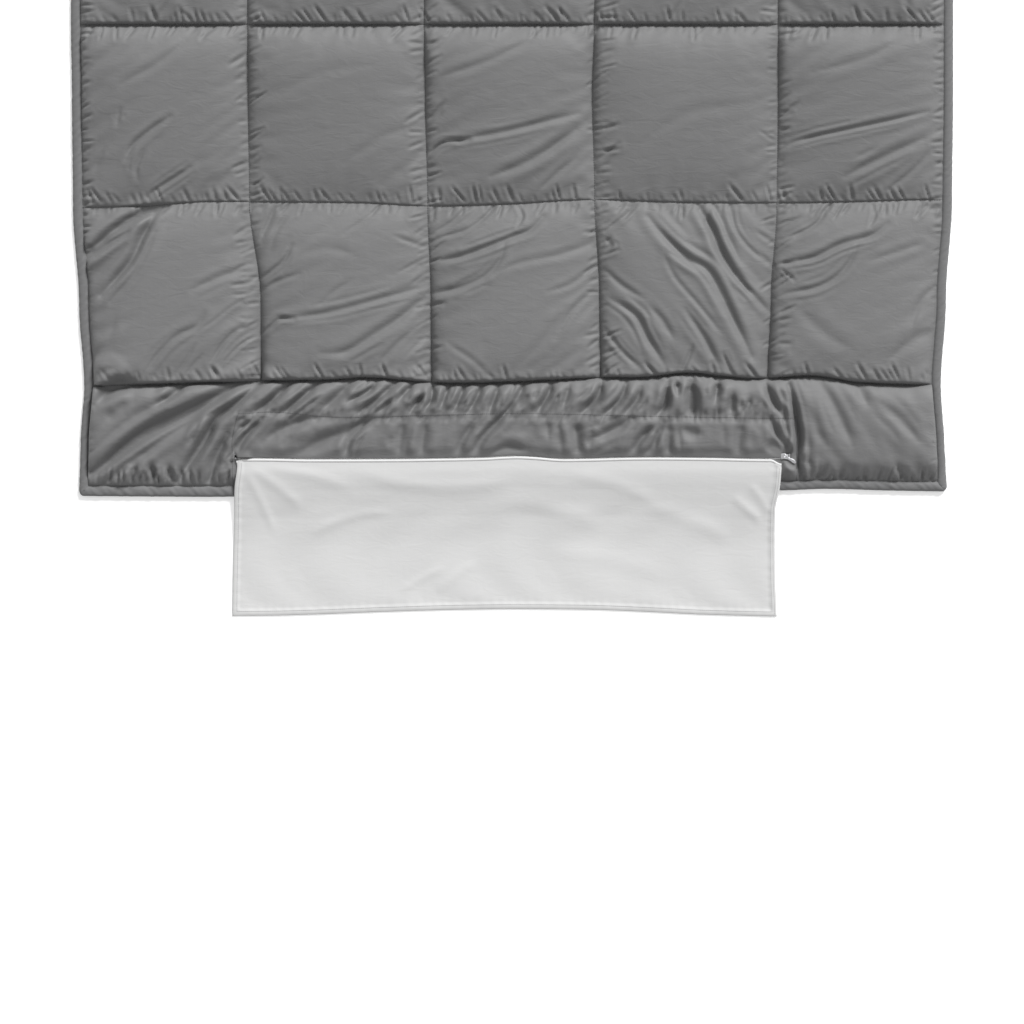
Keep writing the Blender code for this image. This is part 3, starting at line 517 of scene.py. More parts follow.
BORDER_CREASES = (
    (11, 7.0, (-0.840, 0.190), (-0.804, 0.168), (-0.760, 0.131), (-0.710, 0.096), (-0.640, 0.062),
     (-0.583, 0.036), (-0.543, 0.013), (-0.504, 0.001)),
    (8, 6.0, (-0.655, 0.197), (-0.620, 0.144), (-0.601, 0.115), (-0.582, 0.076), (-0.543, 0.046),
     (-0.494, 0.005)),
    (7, 3.5, (-0.690, 0.042), (-0.665, 0.028), (-0.640, 0.006)),
    (12, 5.0, (-0.815, 0.046), (-0.782, 0.014), (-0.740, 0.004)),
    (7, 3.2, (-0.592, 0.193), (-0.575, 0.140), (-0.556, 0.104)),
    (5, 3.0, (-0.745, 0.192), (-0.735, 0.165)),
    (5, 3.0, (-0.700, 0.192), (-0.706, 0.165)),
    (5, 3.0, (-0.668, 0.192), (-0.672, 0.168)),
    (7, 5.0, (-0.500, 0.058), (-0.474, 0.040), (-0.435, 0.005)),
    (6, 4.4, (-0.446, 0.060), (-0.405, 0.026), (-0.380, 0.005)),
    (8, 3.6, (-0.376, 0.060), (-0.337, 0.026), (-0.318, 0.005)),
    (5, 4.4, (-0.320, 0.040), (-0.280, 0.018), (-0.266, 0.003)),
    (6, 4.0, (-0.300, 0.062), (-0.260, 0.032), (-0.229, 0.005)),
    (5, 2.6, (-0.260, 0.062), (-0.236, 0.036)),
    (5, 4.4, (-0.222, 0.036), (-0.206, 0.020), (-0.194, 0.006)),
    (5, 3.4, (-0.198, 0.058), (-0.172, 0.026)),
    (5, 5.0, (-0.170, 0.052), (-0.158, 0.036), (-0.155, 0.004)),
    (5, 3.6, (-0.140, 0.050), (-0.122, 0.008)),
    (5, 3.6, (-0.112, 0.056), (-0.092, 0.008)),
    (5, 3.8, (-0.084, 0.060), (-0.068, 0.030), (-0.058, 0.008)),
    (5, 3.4, (-0.044, 0.060), (-0.026, 0.008)),
    (6, 5.0, (-0.012, 0.062), (0.012, 0.030), (0.024, 0.004)),
    (6, 4.8, (0.048, 0.062), (0.070, 0.028), (0.078, 0.004)),
    (5, 2.8, (0.100, 0.050), (0.112, 0.010)),
    (7, 5.4, (0.136, 0.062), (0.166, 0.034), (0.176, 0.003)),
    (6, 4.6, (0.182, 0.064), (0.212, 0.034), (0.224, 0.004)),
    (6, 3.4, (0.220, 0.062), (0.244, 0.036), (0.252, 0.014)),
    (6, 5.4, (0.282, 0.068), (0.300, 0.046), (0.306, 0.006)),
    (6, 5.0, (0.324, 0.030), (0.323, 0.003)),
    (9, 6.5, (0.354, 0.070), (0.352, 0.036), (0.350, 0.003)),
    (6, 5.0, (0.398, 0.038), (0.404, 0.003)),
    (7, 3.6, (0.428, 0.064), (0.432, 0.026)),
    (5, 2.6, (0.456, 0.060), (0.466, 0.034)),
    (6, 3.8, (0.526, 0.064), (0.506, 0.030), (0.496, 0.006)),
    (5, 4.0, (-0.550, 0.146), (-0.524, 0.110), (-0.490, 0.074)),
    (5, 2.2, (-0.534, 0.092), (-0.508, 0.076)),
    (9, 2.8, (-0.486, 0.118), (-0.436, 0.086), (-0.388, 0.074)),
    (11, 3.6, (-0.430, 0.142), (-0.356, 0.114), (-0.316, 0.096), (-0.268, 0.074)),
    (6, 2.8, (-0.330, 0.146), (-0.316, 0.112), (-0.290, 0.078)),
    (8, 2.2, (-0.222, 0.140), (-0.214, 0.078)),
    (8, 2.0, (-0.178, 0.140), (-0.170, 0.078)),
    (7, 2.8, (-0.114, 0.142), (-0.092, 0.110), (-0.074, 0.078)),
    (7, 4.6, (-0.084, 0.146), (-0.058, 0.110), (-0.024, 0.074), (-0.008, 0.058)),
    (6, 2.8, (-0.046, 0.140), (-0.012, 0.126), (0.030, 0.128)),
    (6, 1.6, (0.066, 0.076), (0.072, 0.112)),
    (10, 3.6, (0.126, 0.082), (0.130, 0.142)),
    (8, 2.6, (0.150, 0.118), (0.192, 0.098), (0.234, 0.074)),
    (7, 3.0, (0.226, 0.142), (0.250, 0.112), (0.284, 0.084)),
    (6, 3.0, (0.252, 0.144), (0.280, 0.116), (0.296, 0.082)),
    (8, 2.8, (0.304, 0.142), (0.306, 0.082)),
    (10, 2.0, (0.330, 0.096), (0.368, 0.104)),
    (9, 2.0, (0.440, 0.140), (0.448, 0.082)),
    (6, 3.0, (0.506, 0.076), (0.524, 0.112), (0.546, 0.142)),
    (6, 6.0, (0.541, 0.007), (0.549, 0.036), (0.556, 0.075), (0.560, 0.115), (0.557, 0.154),
     (0.562, 0.174), (0.568, 0.196)),
    (5, 3.0, (0.585, 0.190), (0.578, 0.150)),
    (8, 2.4, (0.578, 0.050), (0.596, 0.096), (0.614, 0.126)),
    (9, 3.4, (0.604, 0.006), (0.626, 0.040), (0.650, 0.094), (0.664, 0.126)),
    (8, 2.8, (0.676, 0.010), (0.694, 0.046)),
    (9, 2.8, (0.722, 0.046), (0.762, 0.078), (0.792, 0.116)),
    (5, 3.2, (0.594, 0.194), (0.614, 0.166)),
    (5, 2.8, (0.640, 0.194), (0.646, 0.170)),
    (5, 2.6, (0.688, 0.194), (0.690, 0.170)),
    (5, 3.4, (0.772, 0.194), (0.752, 0.166)),
)


def box_point(row, column, share):
    return (-SIDE + COLUMN * (column + share[0]), SEAM_A + ROW * (row + share[1]))


def all_creases(border_share, border_widen):
    creases = []
    for (row, column), lines in BOX_CREASES.items():
        for width, depth, *points in lines:
            creases.append((width / 1000, depth / 1000, [box_point(row, column, p) for p in points]))
    for width, depth, *points in BORDER_CREASES:
        line = [(x, SEAM_A - down) for x, down in points]
        share = border_share if points[0][0] < CALM_FROM else 1.0
        creases.append((width * border_widen / 1000, depth * share / 1000, line))
    return creases + companions(creases)


def companions(creases):
    """Fainter, shorter creases beside the deeper ones."""
    random = np.random.default_rng(23)
    extra = []
    for width, depth, points in creases:
        for side in (-1, 1):
            if depth < 0.0018 or random.uniform() < 0.3:
                continue
            path = cubic(np.array(points), np.linspace(0, len(points) - 1, 9), 0)
            first = random.integers(0, 3)
            last = random.integers(6, 9)
            ahead = path[-1] - path[0]
            aside = np.array([-ahead[1], ahead[0]]) / np.linalg.norm(ahead)
            offset = side * aside * width * random.uniform(1.9, 3.0)
            spread = np.linspace(-0.5, 0.5, 9)[:, None] * aside * random.uniform(-1, 1) * width * 1.6
            beside = path + offset + spread
            share = depth * random.uniform(0.25, 0.5)
            extra.append((width * random.uniform(0.5, 0.8), share, [tuple(p) for p in beside[first:last:2]]))
    return extra


def seam_puckers(seed):
    """Short slanting puckers that run into the seams from both sides."""
    random = np.random.default_rng(seed)
    puckers = []

    def add(x, y, across, up, depth):
        puckers.append((random.uniform(0.0022, 0.0038), depth, [(x, y), (x + across, y + up)]))

    for row in range(4):
        y = SEAM_A + ROW * row
        x = -SIDE + EDGE + 0.01
        while x < SIDE - EDGE:
            strength = random.uniform(0.2, 1.0) ** 2
            up = 0.010 + 0.026 * strength
            add(x, y + 0.001, -up * random.uniform(0.1, 0.9), up, 0.0007 + 0.0017 * strength)
            strength = random.uniform(0.2, 1.0) ** 2
            down = 0.008 + 0.026 * strength
            if row:
                start = x + random.uniform(-0.008, 0.008)
                add(start, y - 0.001, -down * random.uniform(0.0, 1.0), -down, 0.0006 + 0.0016 * strength)
            x += random.uniform(0.008, 0.030)
    for column in COLUMNS:
        y = SEAM_A + 0.01
        while y < FOLD:
            strength = random.uniform(0.2, 1.0) ** 2
            right = 0.010 + 0.030 * strength
            add(column + 0.001, y, right, right * random.uniform(0.0, 0.8), 0.0006 + 0.0016 * strength)
            strength = random.uniform(0.2, 1.0) ** 2
            left = 0.008 + 0.026 * strength
            add(column - 0.001, y, -left, -left * random.uniform(-0.2, 0.8), 0.0006 + 0.0014 * strength)
            y += random.uniform(0.009, 0.032)
    x = -SIDE + 0.03
    while x < SIDE - 0.03:
        up = random.uniform(0.010, 0.030)
        if x < POCKET_LEFT or x > POCKET_RIGHT:
            add(x, FOOT + EDGE, up * random.uniform(-0.2, 0.5), up, random.uniform(0.0014, 0.0030))
        x += random.uniform(0.012, 0.026)
    y = FOOT + 0.03
    while y < FOLD:
        inwards = random.uniform(0.010, 0.028)
        add(-SIDE + EDGE, y, inwards, inwards * random.uniform(-0.2, 0.6), random.uniform(0.0010, 0.0024))
        add(SIDE - EDGE, y, -inwards, inwards * random.uniform(-0.6, 0.2), random.uniform(0.0010, 0.0024))
        y += random.uniform(0.012, 0.026)
    y = FOOT + 0.02
    while y < ROOT + 0.02:
        inwards = random.uniform(0.014, 0.036)
        add(POCKET_LEFT - 0.001, y, -inwards * 0.5, -inwards * 0.7, random.uniform(0.0014, 0.0026))
        y += random.uniform(0.007, 0.013)
    x = POCKET_LEFT + 0.01
    while x < POCKET_RIGHT:
        up = random.uniform(0.006, 0.014)
        lean = 0.6 if x < 0.25 else 0.1
        add(x, POCKET_TOP + 0.001, up * lean, up, random.uniform(0.0006, 0.0014))
        add(x, POCKET_TOP - 0.001, -up * lean, -up, random.uniform(0.0006, 0.0014))
        x += random.uniform(0.008, 0.020)
    return puckers


def crease_field(x, y, creases):
    """Height that the creases add at the points: valleys with a soft ridge on either side."""
    added = np.zeros(x.shape)
    for width, depth, points in creases:
        points = np.array(points, float)
        reach = width * 4.5
        low = points.min(axis=0) - reach
        high = points.max(axis=0) + reach
        near = (x > low[0]) & (x < high[0]) & (y > low[1]) & (y < high[1])
        if not near.any():
            continue
        count = max(8, int(8 * (len(points) - 1)))
        steps = np.linspace(0, len(points) - 1, count + 1)
        if len(points) > 2:
            path = cubic(points, steps, 0)
        else:
            path = points[0] + np.outer(steps, points[1] - points[0])
        lengths = np.linalg.norm(np.diff(path, axis=0), axis=1)
        along = np.concatenate([[0.0], np.cumsum(lengths)])
        px, py = x[near], y[near]
        best = np.full(px.shape, 1e9)
        place = np.zeros(px.shape)
        for number in range(count):
            start = path[number]
            step = path[number + 1] - start
            share = ((px - start[0]) * step[0] + (py - start[1]) * step[1]) / (lengths[number] ** 2)
            share = np.clip(share, 0.0, 1.0)
            gap = np.hypot(px - start[0] - share * step[0], py - start[1] - share * step[1])
            closer = gap < best
            best = np.where(closer, gap, best)
            place = np.where(closer, along[number] + share * lengths[number], place)
        share = place / along[-1]
        fade = 0.35 + 0.65 * smooth(share / 0.25) * smooth((1 - share) / 0.25)
        tapered = width * (0.55 + 0.45 * np.sin(np.pi * share))
        cut = np.exp(-((best / tapered) ** 2))
        bank = np.exp(-(((best - 2.1 * width) / (1.15 * width)) ** 2))
        added[near] += depth * fade * (0.42 * bank - cut)
    return added


# How each patch of cloth is cut before sewing: its spare width and length, and how far askew, so
# that the folds lean. One row of boxes a line, from the border towards the fold.
BOX_CUTS = (
    ((1.014, 1.016, -0.016), (1.012, 1.016, -0.014), (1.014, 1.016, -0.014),
     (1.018, 1.014, 0.022), (1.013, 1.016, -0.014)),
    ((1.014, 1.016, -0.016), (1.011, 1.012, -0.004), (1.012, 1.016, -0.012),
     (1.011, 1.012, -0.004), (1.012, 1.016, -0.012)),
    ((1.014, 1.014, 0.008), (1.014, 1.014, -0.010), (1.014, 1.014, 0.012),
     (1.014, 1.014, -0.012), (1.014, 1.014, 0.008)),
)
BORDER_CUT = (1.018, 1.012)
BORDER_SKEW = (
    (-SIDE, 0.030), (-0.60, 0.045), (-0.40, 0.040), (-0.15, 0.030), (0.10, 0.020), (0.30, 0.006),
    (0.50, -0.006), (0.60, -0.020), (SIDE, -0.025),
)


def relax_face(xs, ys):
    """Cloth simulation of the face over the foot border and three rows of boxes.

    Each patch is cut a little larger than the space between its seams and a little askew. It is
    drawn in to its stitched lines, which hold it down, while the fill lifts it, so that it
    puckers and creases as sewn cloth does.
    """
    pattern_x, pattern_y = np.meshgrid(xs, ys)
    placed_x, placed_y = laid_out(pattern_x, pattern_y)
    in_pocket = (pattern_x > POCKET_LEFT - 0.001) & (pattern_x < POCKET_RIGHT + 0.001)
    raised = in_pocket & (on_line(pattern_y, ROOT) | on_line(pattern_y, SLOT_UPPER))
    raised |= in_pocket & on_line(pattern_y, POCKET_TOP)
    sides = on_line(pattern_x, POCKET_LEFT) | on_line(pattern_x, POCKET_RIGHT)
    raised |= sides & (pattern_y < POCKET_TOP + 0.001) & (pattern_y > FOOT + 0.03)

    height = np.full(pattern_x.shape, SEAM_Z)
    height[raised] = PLATEAU
    rise = smooth((pattern_y - ys[0]) / 0.03) * smooth((SEAM_A - pattern_y) / 0.03)
    border = (pattern_y < SEAM_A - 0.001) & ~raised
    height[border] = SEAM_Z + (PLATEAU - SEAM_Z) * rise[border]
    random = np.random.default_rng(11)
    rough = random.normal(0.0, 1.0, (24, 24))
    bumps = resample(rough, np.linspace(xs[0], xs[-1], 24), np.linspace(ys[0], ys[-1], 24), xs, ys)
    fine = random.normal(0.0, 1.0, (90, 90))
    bumps += resample(fine, np.linspace(xs[0], xs[-1], 90), np.linspace(ys[0], ys[-1], 90), xs, ys)

    folds = crease_field(placed_x, placed_y, all_creases(SEED_BORDER, 1.0))

    column_stops = [0, *(int(np.argmin(np.abs(xs - column))) for column in COLUMNS), len(xs) - 1]
    row_stops = [int(np.argmin(np.abs(ys - (SEAM_A + ROW * row)))) for row in range(4)]
    patches = [(0, row_stops[0], 0, len(xs) - 1, None)]
    for row in range(3):
        for column in range(5):
            cut = BOX_CUTS[row][column]
            ends = (row_stops[row], row_stops[row + 1], column_stops[column], column_stops[column + 1])
            patches.append((*ends, cut))

    patches.append((0, row_stops[0], 0, len(xs) - 1, "plain"))

    cuts = []
    places = []
    held = []
    faces = []
    base = 0
    for low, high, left, right, cut in patches:
        part = (slice(low, high + 1), slice(left, right + 1))
        px, py = placed_x[part], placed_y[part]
        start = height[part]
        fold = folds[part]
        stitched = raised[part].copy()
        if cut == "plain":
            px, py = pattern_x[part], pattern_y[part]
            start = SEAM_Z + (PLATEAU - SEAM_Z) * rise[part]
            fold = fold[:, ::-1] * (np.abs(px) > 0.5)
            stitched[:] = False
        stitched[[0, -1], :] = True
        stitched[:, [0, -1]] = True
        lift = start + np.where(stitched, 0.0, 0.0008 * bumps[part] + SEED * fold)
        if cut is None or cut == "plain":
            skew = curve_through(BORDER_SKEW, px) if cut is None else 0.03 * np.sin(px * 9)
            flat_x = px * BORDER_CUT[0] + skew * (SEAM_A - py)
            flat_y = SEAM_A + (py - SEAM_A) * BORDER_CUT[1]
        else:
            middle_x, middle_y = px.mean(), py.mean()
            flat_x = middle_x + (px - middle_x) * cut[0] + (py - middle_y) * cut[2]
            flat_y = middle_y + (py - middle_y) * cut[1]
        cuts.append(np.stack([flat_x, flat_y, lift], axis=-1).reshape(-1, 3))
        places.append(np.stack([px, py, lift], axis=-1).reshape(-1, 3))
        held.append(stitched.ravel())
        faces.append(grid_faces(*px.shape) + base)
        base += px.size

    cloth = mesh_from("face_cloth_simulation", np.concatenate(cuts), np.concatenate(faces))
    cloth.shape_key_add(name="cut")
    sewn = cloth.shape_key_add(name="sewn")
    sewn.data.foreach_set("co", np.concatenate(places).astype(np.float32).ravel())
    for number, value in ((1, 0.0), (SEWN_FRAME, 1.0)):
        sewn.value = value
        sewn.keyframe_insert("value", frame=number)
    group = cloth.vertex_groups.new(name="stitched")
    group.add(np.nonzero(np.concatenate(held))[0].tolist(), 1.0, "REPLACE")

    modifier = cloth.modifiers.new("cloth", "CLOTH")
    settings = modifier.settings
    settings.quality = 4
    settings.mass = 0.15
    settings.tension_stiffness = 15.0
    settings.compression_stiffness = 15.0
    settings.shear_stiffness = 3.0
    settings.bending_stiffness = 0.003
    settings.vertex_group_mass = "stitched"
    settings.use_pressure = True
    settings.uniform_pressure_force = 2.5
    settings.effector_weights.gravity = 0.0
    modifier.collision_settings.use_collision = False
    modifier.collision_settings.use_self_collision = False

    scene = bpy.context.scene
    for number in range(1, SIM_FRAMES + 1):
        scene.frame_set(number)
    relaxed = cloth.evaluated_get(bpy.context.evaluated_depsgraph_get()).data
    moved = np.empty(len(relaxed.vertices) * 3, np.float32)
    relaxed.vertices.foreach_get("co", moved)
    moved = moved.reshape(-1, 3).astype(float)
    scene.frame_set(1)
    action = cloth.data.shape_keys.animation_data.action
    bpy.data.objects.remove(cloth, do_unlink=True)
    bpy.data.actions.remove(action)

    result = np.zeros((len(ys), len(xs), 3))
    base = 0
    for low, high, left, right, cut in patches:
        shape = (high - low + 1, right - left + 1)
        count = shape[0] * shape[1]
        patch = moved[base:base + count].reshape(*shape, 3)
        base += count
        if cut != "plain":
            result[low:high + 1, left:right + 1] = patch
    flat = np.stack([pattern_x, pattern_y, 0 * pattern_x], axis=-1)[:row_stops[0] + 1]
    spare = np.zeros((len(ys), len(xs), 3))
    spare[:row_stops[0] + 1] = patch - flat
    return result, placed_x, placed_y, spare


def face_fields():
    """How far the relaxed cloth lies from its laid-out pattern, on the simulation's own lines."""
    stops_x = sorted([-SIDE + EDGE, *COLUMNS, SIDE - EDGE, POCKET_LEFT, POCKET_RIGHT])
    stops_y = [FOOT + EDGE, ROOT, SLOT_UPPER, POCKET_TOP, SEAM_A, SEAM_A + ROW, SEAM_A + 2 * ROW, FOLD]
    xs = lines_between(stops_x, SIM_STEP)
    ys = lines_between(stops_y, SIM_STEP)
    relaxed, placed_x, placed_y, head_border = relax_face(xs, ys)
    relaxed[..., 0] -= placed_x
    relaxed[..., 1] -= placed_y
    return xs, ys, relaxed, head_border


xs, ys, relaxed, head_border = face_fields()


# ---------------------------------------------------------------- the quilt's face
# The mesh's grid in either half, and the extra lines beside every seam.
FOOT_STEP = 0.0031
HEAD_STEP = 0.0042
SEAM_LINES = (-0.0030, -0.0014, 0.0010, 0.0022, 0.0036)
LOFT_CAP = 0.024
# How deep the creases are pressed in the boxes, and in the border, where they are wider too.
CREASE_SHARE = 1.25
BORDER_SHARE = 2.2
BORDER_WIDEN = 1.25
FOLD_LIMIT = 0.0125
# The lowest that the panel passes over the border when it is folded up: height at the root, and slope.
LIFTED_PANEL = (0.0268, 0.17)
# Above CROWN the height is held back, and never passes CROWN + CROWN_CAP.
CROWN = 0.0360
CROWN_CAP = 0.0072
PUCKER_SHARE = 1.7
# How high and how steeply the fill stands along a box's west, east, foot and head sides.
SHOULDER = 0.0115
SHOULDER_REACH = (0.0065, 0.0240, 0.0016, 0.0260)
# The fill that is pushed against a box's foot seam: its height, and how soon it rises and fades.
LEDGE = (0.0045, 0.0016, 0.040)
# How far each row's crowns lie towards the head (+) or the foot (-).
ROW_LEAN = (-0.26, 0.48, 0.10, -0.10, -0.40)
LIP_DROP = 0.0092
GARAGE_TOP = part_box("slider_body")[1].z + 0.0014
SLIDER_MIDDLE = (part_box("slider_body")[0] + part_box("slider_body")[1]) / 2
SLIDE_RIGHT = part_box("slider_body")[0].x - 0.0003
SLIDE_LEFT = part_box("slider_body")[1].x + JOINTS["zip_slide"]["range_m"][0] + 0.0010
PULL_TIP = (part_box("pull_tab")[1].x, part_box("pull_tab")[0].y)
# The border's extra height, from the foot's edge up to the first seam.
BORDER_SLOPE = (
    (FOOT, 0.0), (FOOT + 0.060, 0.0), (FOOT + 0.100, 0.0012), (POCKET_TOP, 0.0040), (SEAM_A - 0.030, 0.0098),
    (SEAM_A - 0.015, 0.0112), (SEAM_A, 0.0110),
)


def blurred(field, passes):
    """Takes out the smallest ripples of the simulation's grid."""
    for _ in range(passes):
        for axis in (0, 1):
            last = field.shape[axis] - 1
            before = np.take(field, [0, *range(last)], axis)
            after = np.take(field, [*range(1, last + 1), last], axis)
            field = 0.5 * field + 0.25 * (before + after)
    return field


def settle(height):
    """Keeps the slopes near the seams and flattens the tops to the loft of the fill."""
    lift = height - SEAM_Z
    return SEAM_Z + LOFT_CAP * np.tanh(lift / LOFT_CAP)


def panel_height(y):
    """The panel's height over the foot border, down past its edge and along the ground."""
    points = (
        (PANEL_END - 0.02, 0.0021), (FOOT - 0.16, 0.0021), (FOOT - 0.10, 0.0030), (FOOT - 0.050, 0.0076),
        (FOOT - 0.020, 0.0122), (FOOT + 0.006, 0.0164), (FOOT + 0.024, 0.0194), (FOOT + 0.040, 0.0211),
        (FOOT + 0.052, 0.0211), (ROOT + 0.01, 0.0208),
    )
    return curve_through(points, y)


def shoulders(x, y):
    """Extra height of the fill, which stands up steeply from the seams, and leans in each row."""
    row = np.clip(np.floor((y - SEAM_A) / ROW).astype(int), 0, 4)
    up = np.clip((y - SEAM_A) / ROW - row, 0, 1)
    across = (x + SIDE) / COLUMN
    column = np.clip(np.floor(across).astype(int), 0, 4)
    part = across - column
    west = np.where(column == 0, x + SIDE - EDGE, part * COLUMN)
    east = np.where(column == 4, SIDE - EDGE - x, (1 - part) * COLUMN)
    gaps = (west, east, up * ROW, (1 - up) * ROW)
    boxes = np.ones(x.shape)
    for gap, reach in zip(gaps, SHOULDER_REACH):
        boxes *= 1 - np.exp(-np.clip(gap, 0, 1) / reach)
    rise = up * ROW
    ledge = LEDGE[0] * (1 - np.exp(-rise / LEDGE[1])) * np.exp(-rise / LEDGE[2])
    ledge *= (1 - np.exp(-np.clip(west, 0, 1) / 0.008)) * (1 - np.exp(-np.clip(east, 0, 1) / 0.012))
    lean = 0.010 * np.array(ROW_LEAN)[row] * (2 * up - 1) / 0.4
    foot = np.minimum(x + SIDE - EDGE, SIDE - EDGE - x)
    border = 1 - np.exp(-np.clip(foot, 0, 1) / 0.012)
    foot_gap = np.where(y < SEAM_A, y - FOOT - EDGE, HEAD - EDGE - y)
    seam_gap = np.where(y < SEAM_A, SEAM_A - y, y - FOLD - 2 * ROW)
    border *= (1 - np.exp(-np.clip(foot_gap, 0, 1) / 0.010)) * (1 - np.exp(-np.clip(seam_gap, 0, 1) / 0.014))
    in_boxes = (y >= SEAM_A) & (y <= FOLD + 2 * ROW)
    slope = curve_through(BORDER_SLOPE, np.where(y < SEAM_A, y, FOOT + HEAD - y))
    from_seam = 1 - np.exp(-np.clip(seam_gap, 0, 1) / 0.005)
    slope *= from_seam
    flat = CALM_SHARE * smooth((x - CALM_FROM) / 0.06)
    slope += flat * (CALM_HEIGHT * smooth((foot_gap - 0.004) / 0.04) * from_seam - slope)
    return np.where(in_boxes, boxes * (SHOULDER + lean) + ledge, 0.0045 * border + slope)


def whole_face():
    """The face's points over the whole quilt, with the head half made from the relaxed foot half."""
    slot_left = ZIP_LEFT - 0.004
    slot_right = ZIP_RIGHT + 0.005
    stops_x = [-SIDE + EDGE, *COLUMNS, SIDE - EDGE, POCKET_LEFT, POCKET_RIGHT, slot_left, slot_right]
    stops_x += [column + offset for column in COLUMNS for offset in SEAM_LINES]
    stops_x += [SLIDE_RIGHT, SLIDE_RIGHT + 0.003]
    new_xs = lines_between(sorted(stops_x), FOOT_STEP)
    foot_stops = [FOOT + EDGE, ROOT - 0.003, ROOT, SLOT_UPPER, SLOT_UPPER + 0.003, POCKET_TOP]
    foot_seams = [SEAM_A, SEAM_A + ROW, SEAM_A + 2 * ROW]
    foot_stops += [*foot_seams, FOLD, *(seam + offset for seam in foot_seams for offset in SEAM_LINES)]
    foot_ys = lines_between(sorted(foot_stops), FOOT_STEP)
    head_seams = [FOLD + ROW, FOLD + 2 * ROW]
    head_stops = [FOLD, *head_seams, HEAD - EDGE]
    head_stops += [seam + offset for seam in head_seams for offset in SEAM_LINES]
    head_ys = lines_between(sorted(head_stops), HEAD_STEP)[1:]
    new_ys = np.concatenate([foot_ys, head_ys])

    calm = blurred(relaxed, 1)
    strip = smooth((ys - POCKET_TOP) / 0.02 + 1) * (ys < SEAM_A - 0.001)
    calm += 0.5 * (blurred(relaxed, 5) - calm) * strip[:, None, None]
    foot = resample(calm, xs, ys, new_xs, foot_ys)
    is_border = head_ys > FOLD + 2 * ROW
    turned = np.array([-1.0, -1.0, 1.0])
    back_xs = -new_xs[::-1]
    rows = resample(blurred(relaxed, 1), xs, ys, back_xs, 2 * FOLD - head_ys[~is_border])[:, ::-1] * turned
    border = resample(blurred(head_border, 1), xs, ys, back_xs, FOOT + HEAD - head_ys[is_border])
    border = border[:, ::-1] * turned
    moved = np.concatenate([foot, rows, border])

    pattern_x, pattern_y = np.meshgrid(new_xs, new_ys)
    placed_x, placed_y = laid_out(pattern_x, pattern_y)
    height = settle(moved[..., 2]) + shoulders(pattern_x, pattern_y)
    in_pocket = (pattern_x > POCKET_LEFT) & (pattern_x < POCKET_RIGHT) & (pattern_y < POCKET_TOP)
    in_pocket &= pattern_y > FOOT + 0.035

    creases = all_creases(BORDER_SHARE, BORDER_WIDEN)
    puckers = seam_puckers(7)
    in_foot = pattern_y <= FOLD
    folds = np.zeros(pattern_x.shape)
    folds[in_foot] = CREASE_SHARE * crease_field(placed_x[in_foot], placed_y[in_foot], creases)
    folds[in_foot] += PUCKER_SHARE * crease_field(placed_x[in_foot], placed_y[in_foot], puckers)
    in_rows = ~in_foot & (pattern_y <= FOLD + 2 * ROW)
    turn_x, turn_y = -pattern_x[in_rows], 2 * FOLD - pattern_y[in_rows]
    folds[in_rows] = CREASE_SHARE * crease_field(turn_x, turn_y, creases)
    folds[in_rows] += PUCKER_SHARE * crease_field(turn_x, turn_y, puckers)
    beyond = pattern_y > FOLD + 2 * ROW
    turn_x, turn_y = -pattern_x[beyond], FOOT + HEAD - pattern_y[beyond]
    outside = np.abs(turn_x) > 0.5
    folds[beyond] = crease_field(turn_x, turn_y, [*creases, *puckers]) * outside

    seam_gap = np.min(np.abs(pattern_x[..., None] - np.array([-SIDE + EDGE, *COLUMNS, SIDE - EDGE])), axis=-1)
    no_columns = (pattern_y < SEAM_A) | beyond
    side_gap = np.minimum(pattern_x + SIDE - EDGE, SIDE - EDGE - pattern_x)
    seam_gap = np.where(no_columns, side_gap, seam_gap)
    row_lines = np.array([FOOT + EDGE, *(SEAM_A + ROW * row for row in range(6)), HEAD - EDGE])
    seam_gap = np.minimum(seam_gap, np.min(np.abs(pattern_y[..., None] - row_lines), axis=-1))
    folds *= smooth(seam_gap / 0.005 + 0.1)
    in_width = np.minimum(pattern_x - POCKET_LEFT, POCKET_RIGHT - pattern_x)
    in_length = np.minimum(POCKET_TOP - pattern_y, pattern_y - SLOT_UPPER)
    height += 0.0026 * smooth(np.minimum(in_width, in_length) / 0.018)
    height = np.maximum(height + np.maximum(folds, -FOLD_LIMIT), SEAM_Z - 0.0004)
    height = np.where(height > CROWN, CROWN + CROWN_CAP * np.tanh((height - CROWN) / CROWN_CAP), height)
    floor = np.where(in_pocket, PLATEAU - 0.0006, 0.0)
    height = np.maximum(height, floor)
    rim = np.minimum(side_gap, np.minimum(pattern_y - FOOT - EDGE, HEAD - EDGE - pattern_y))
    height -= 0.0016 * np.exp(-rim / 0.003)

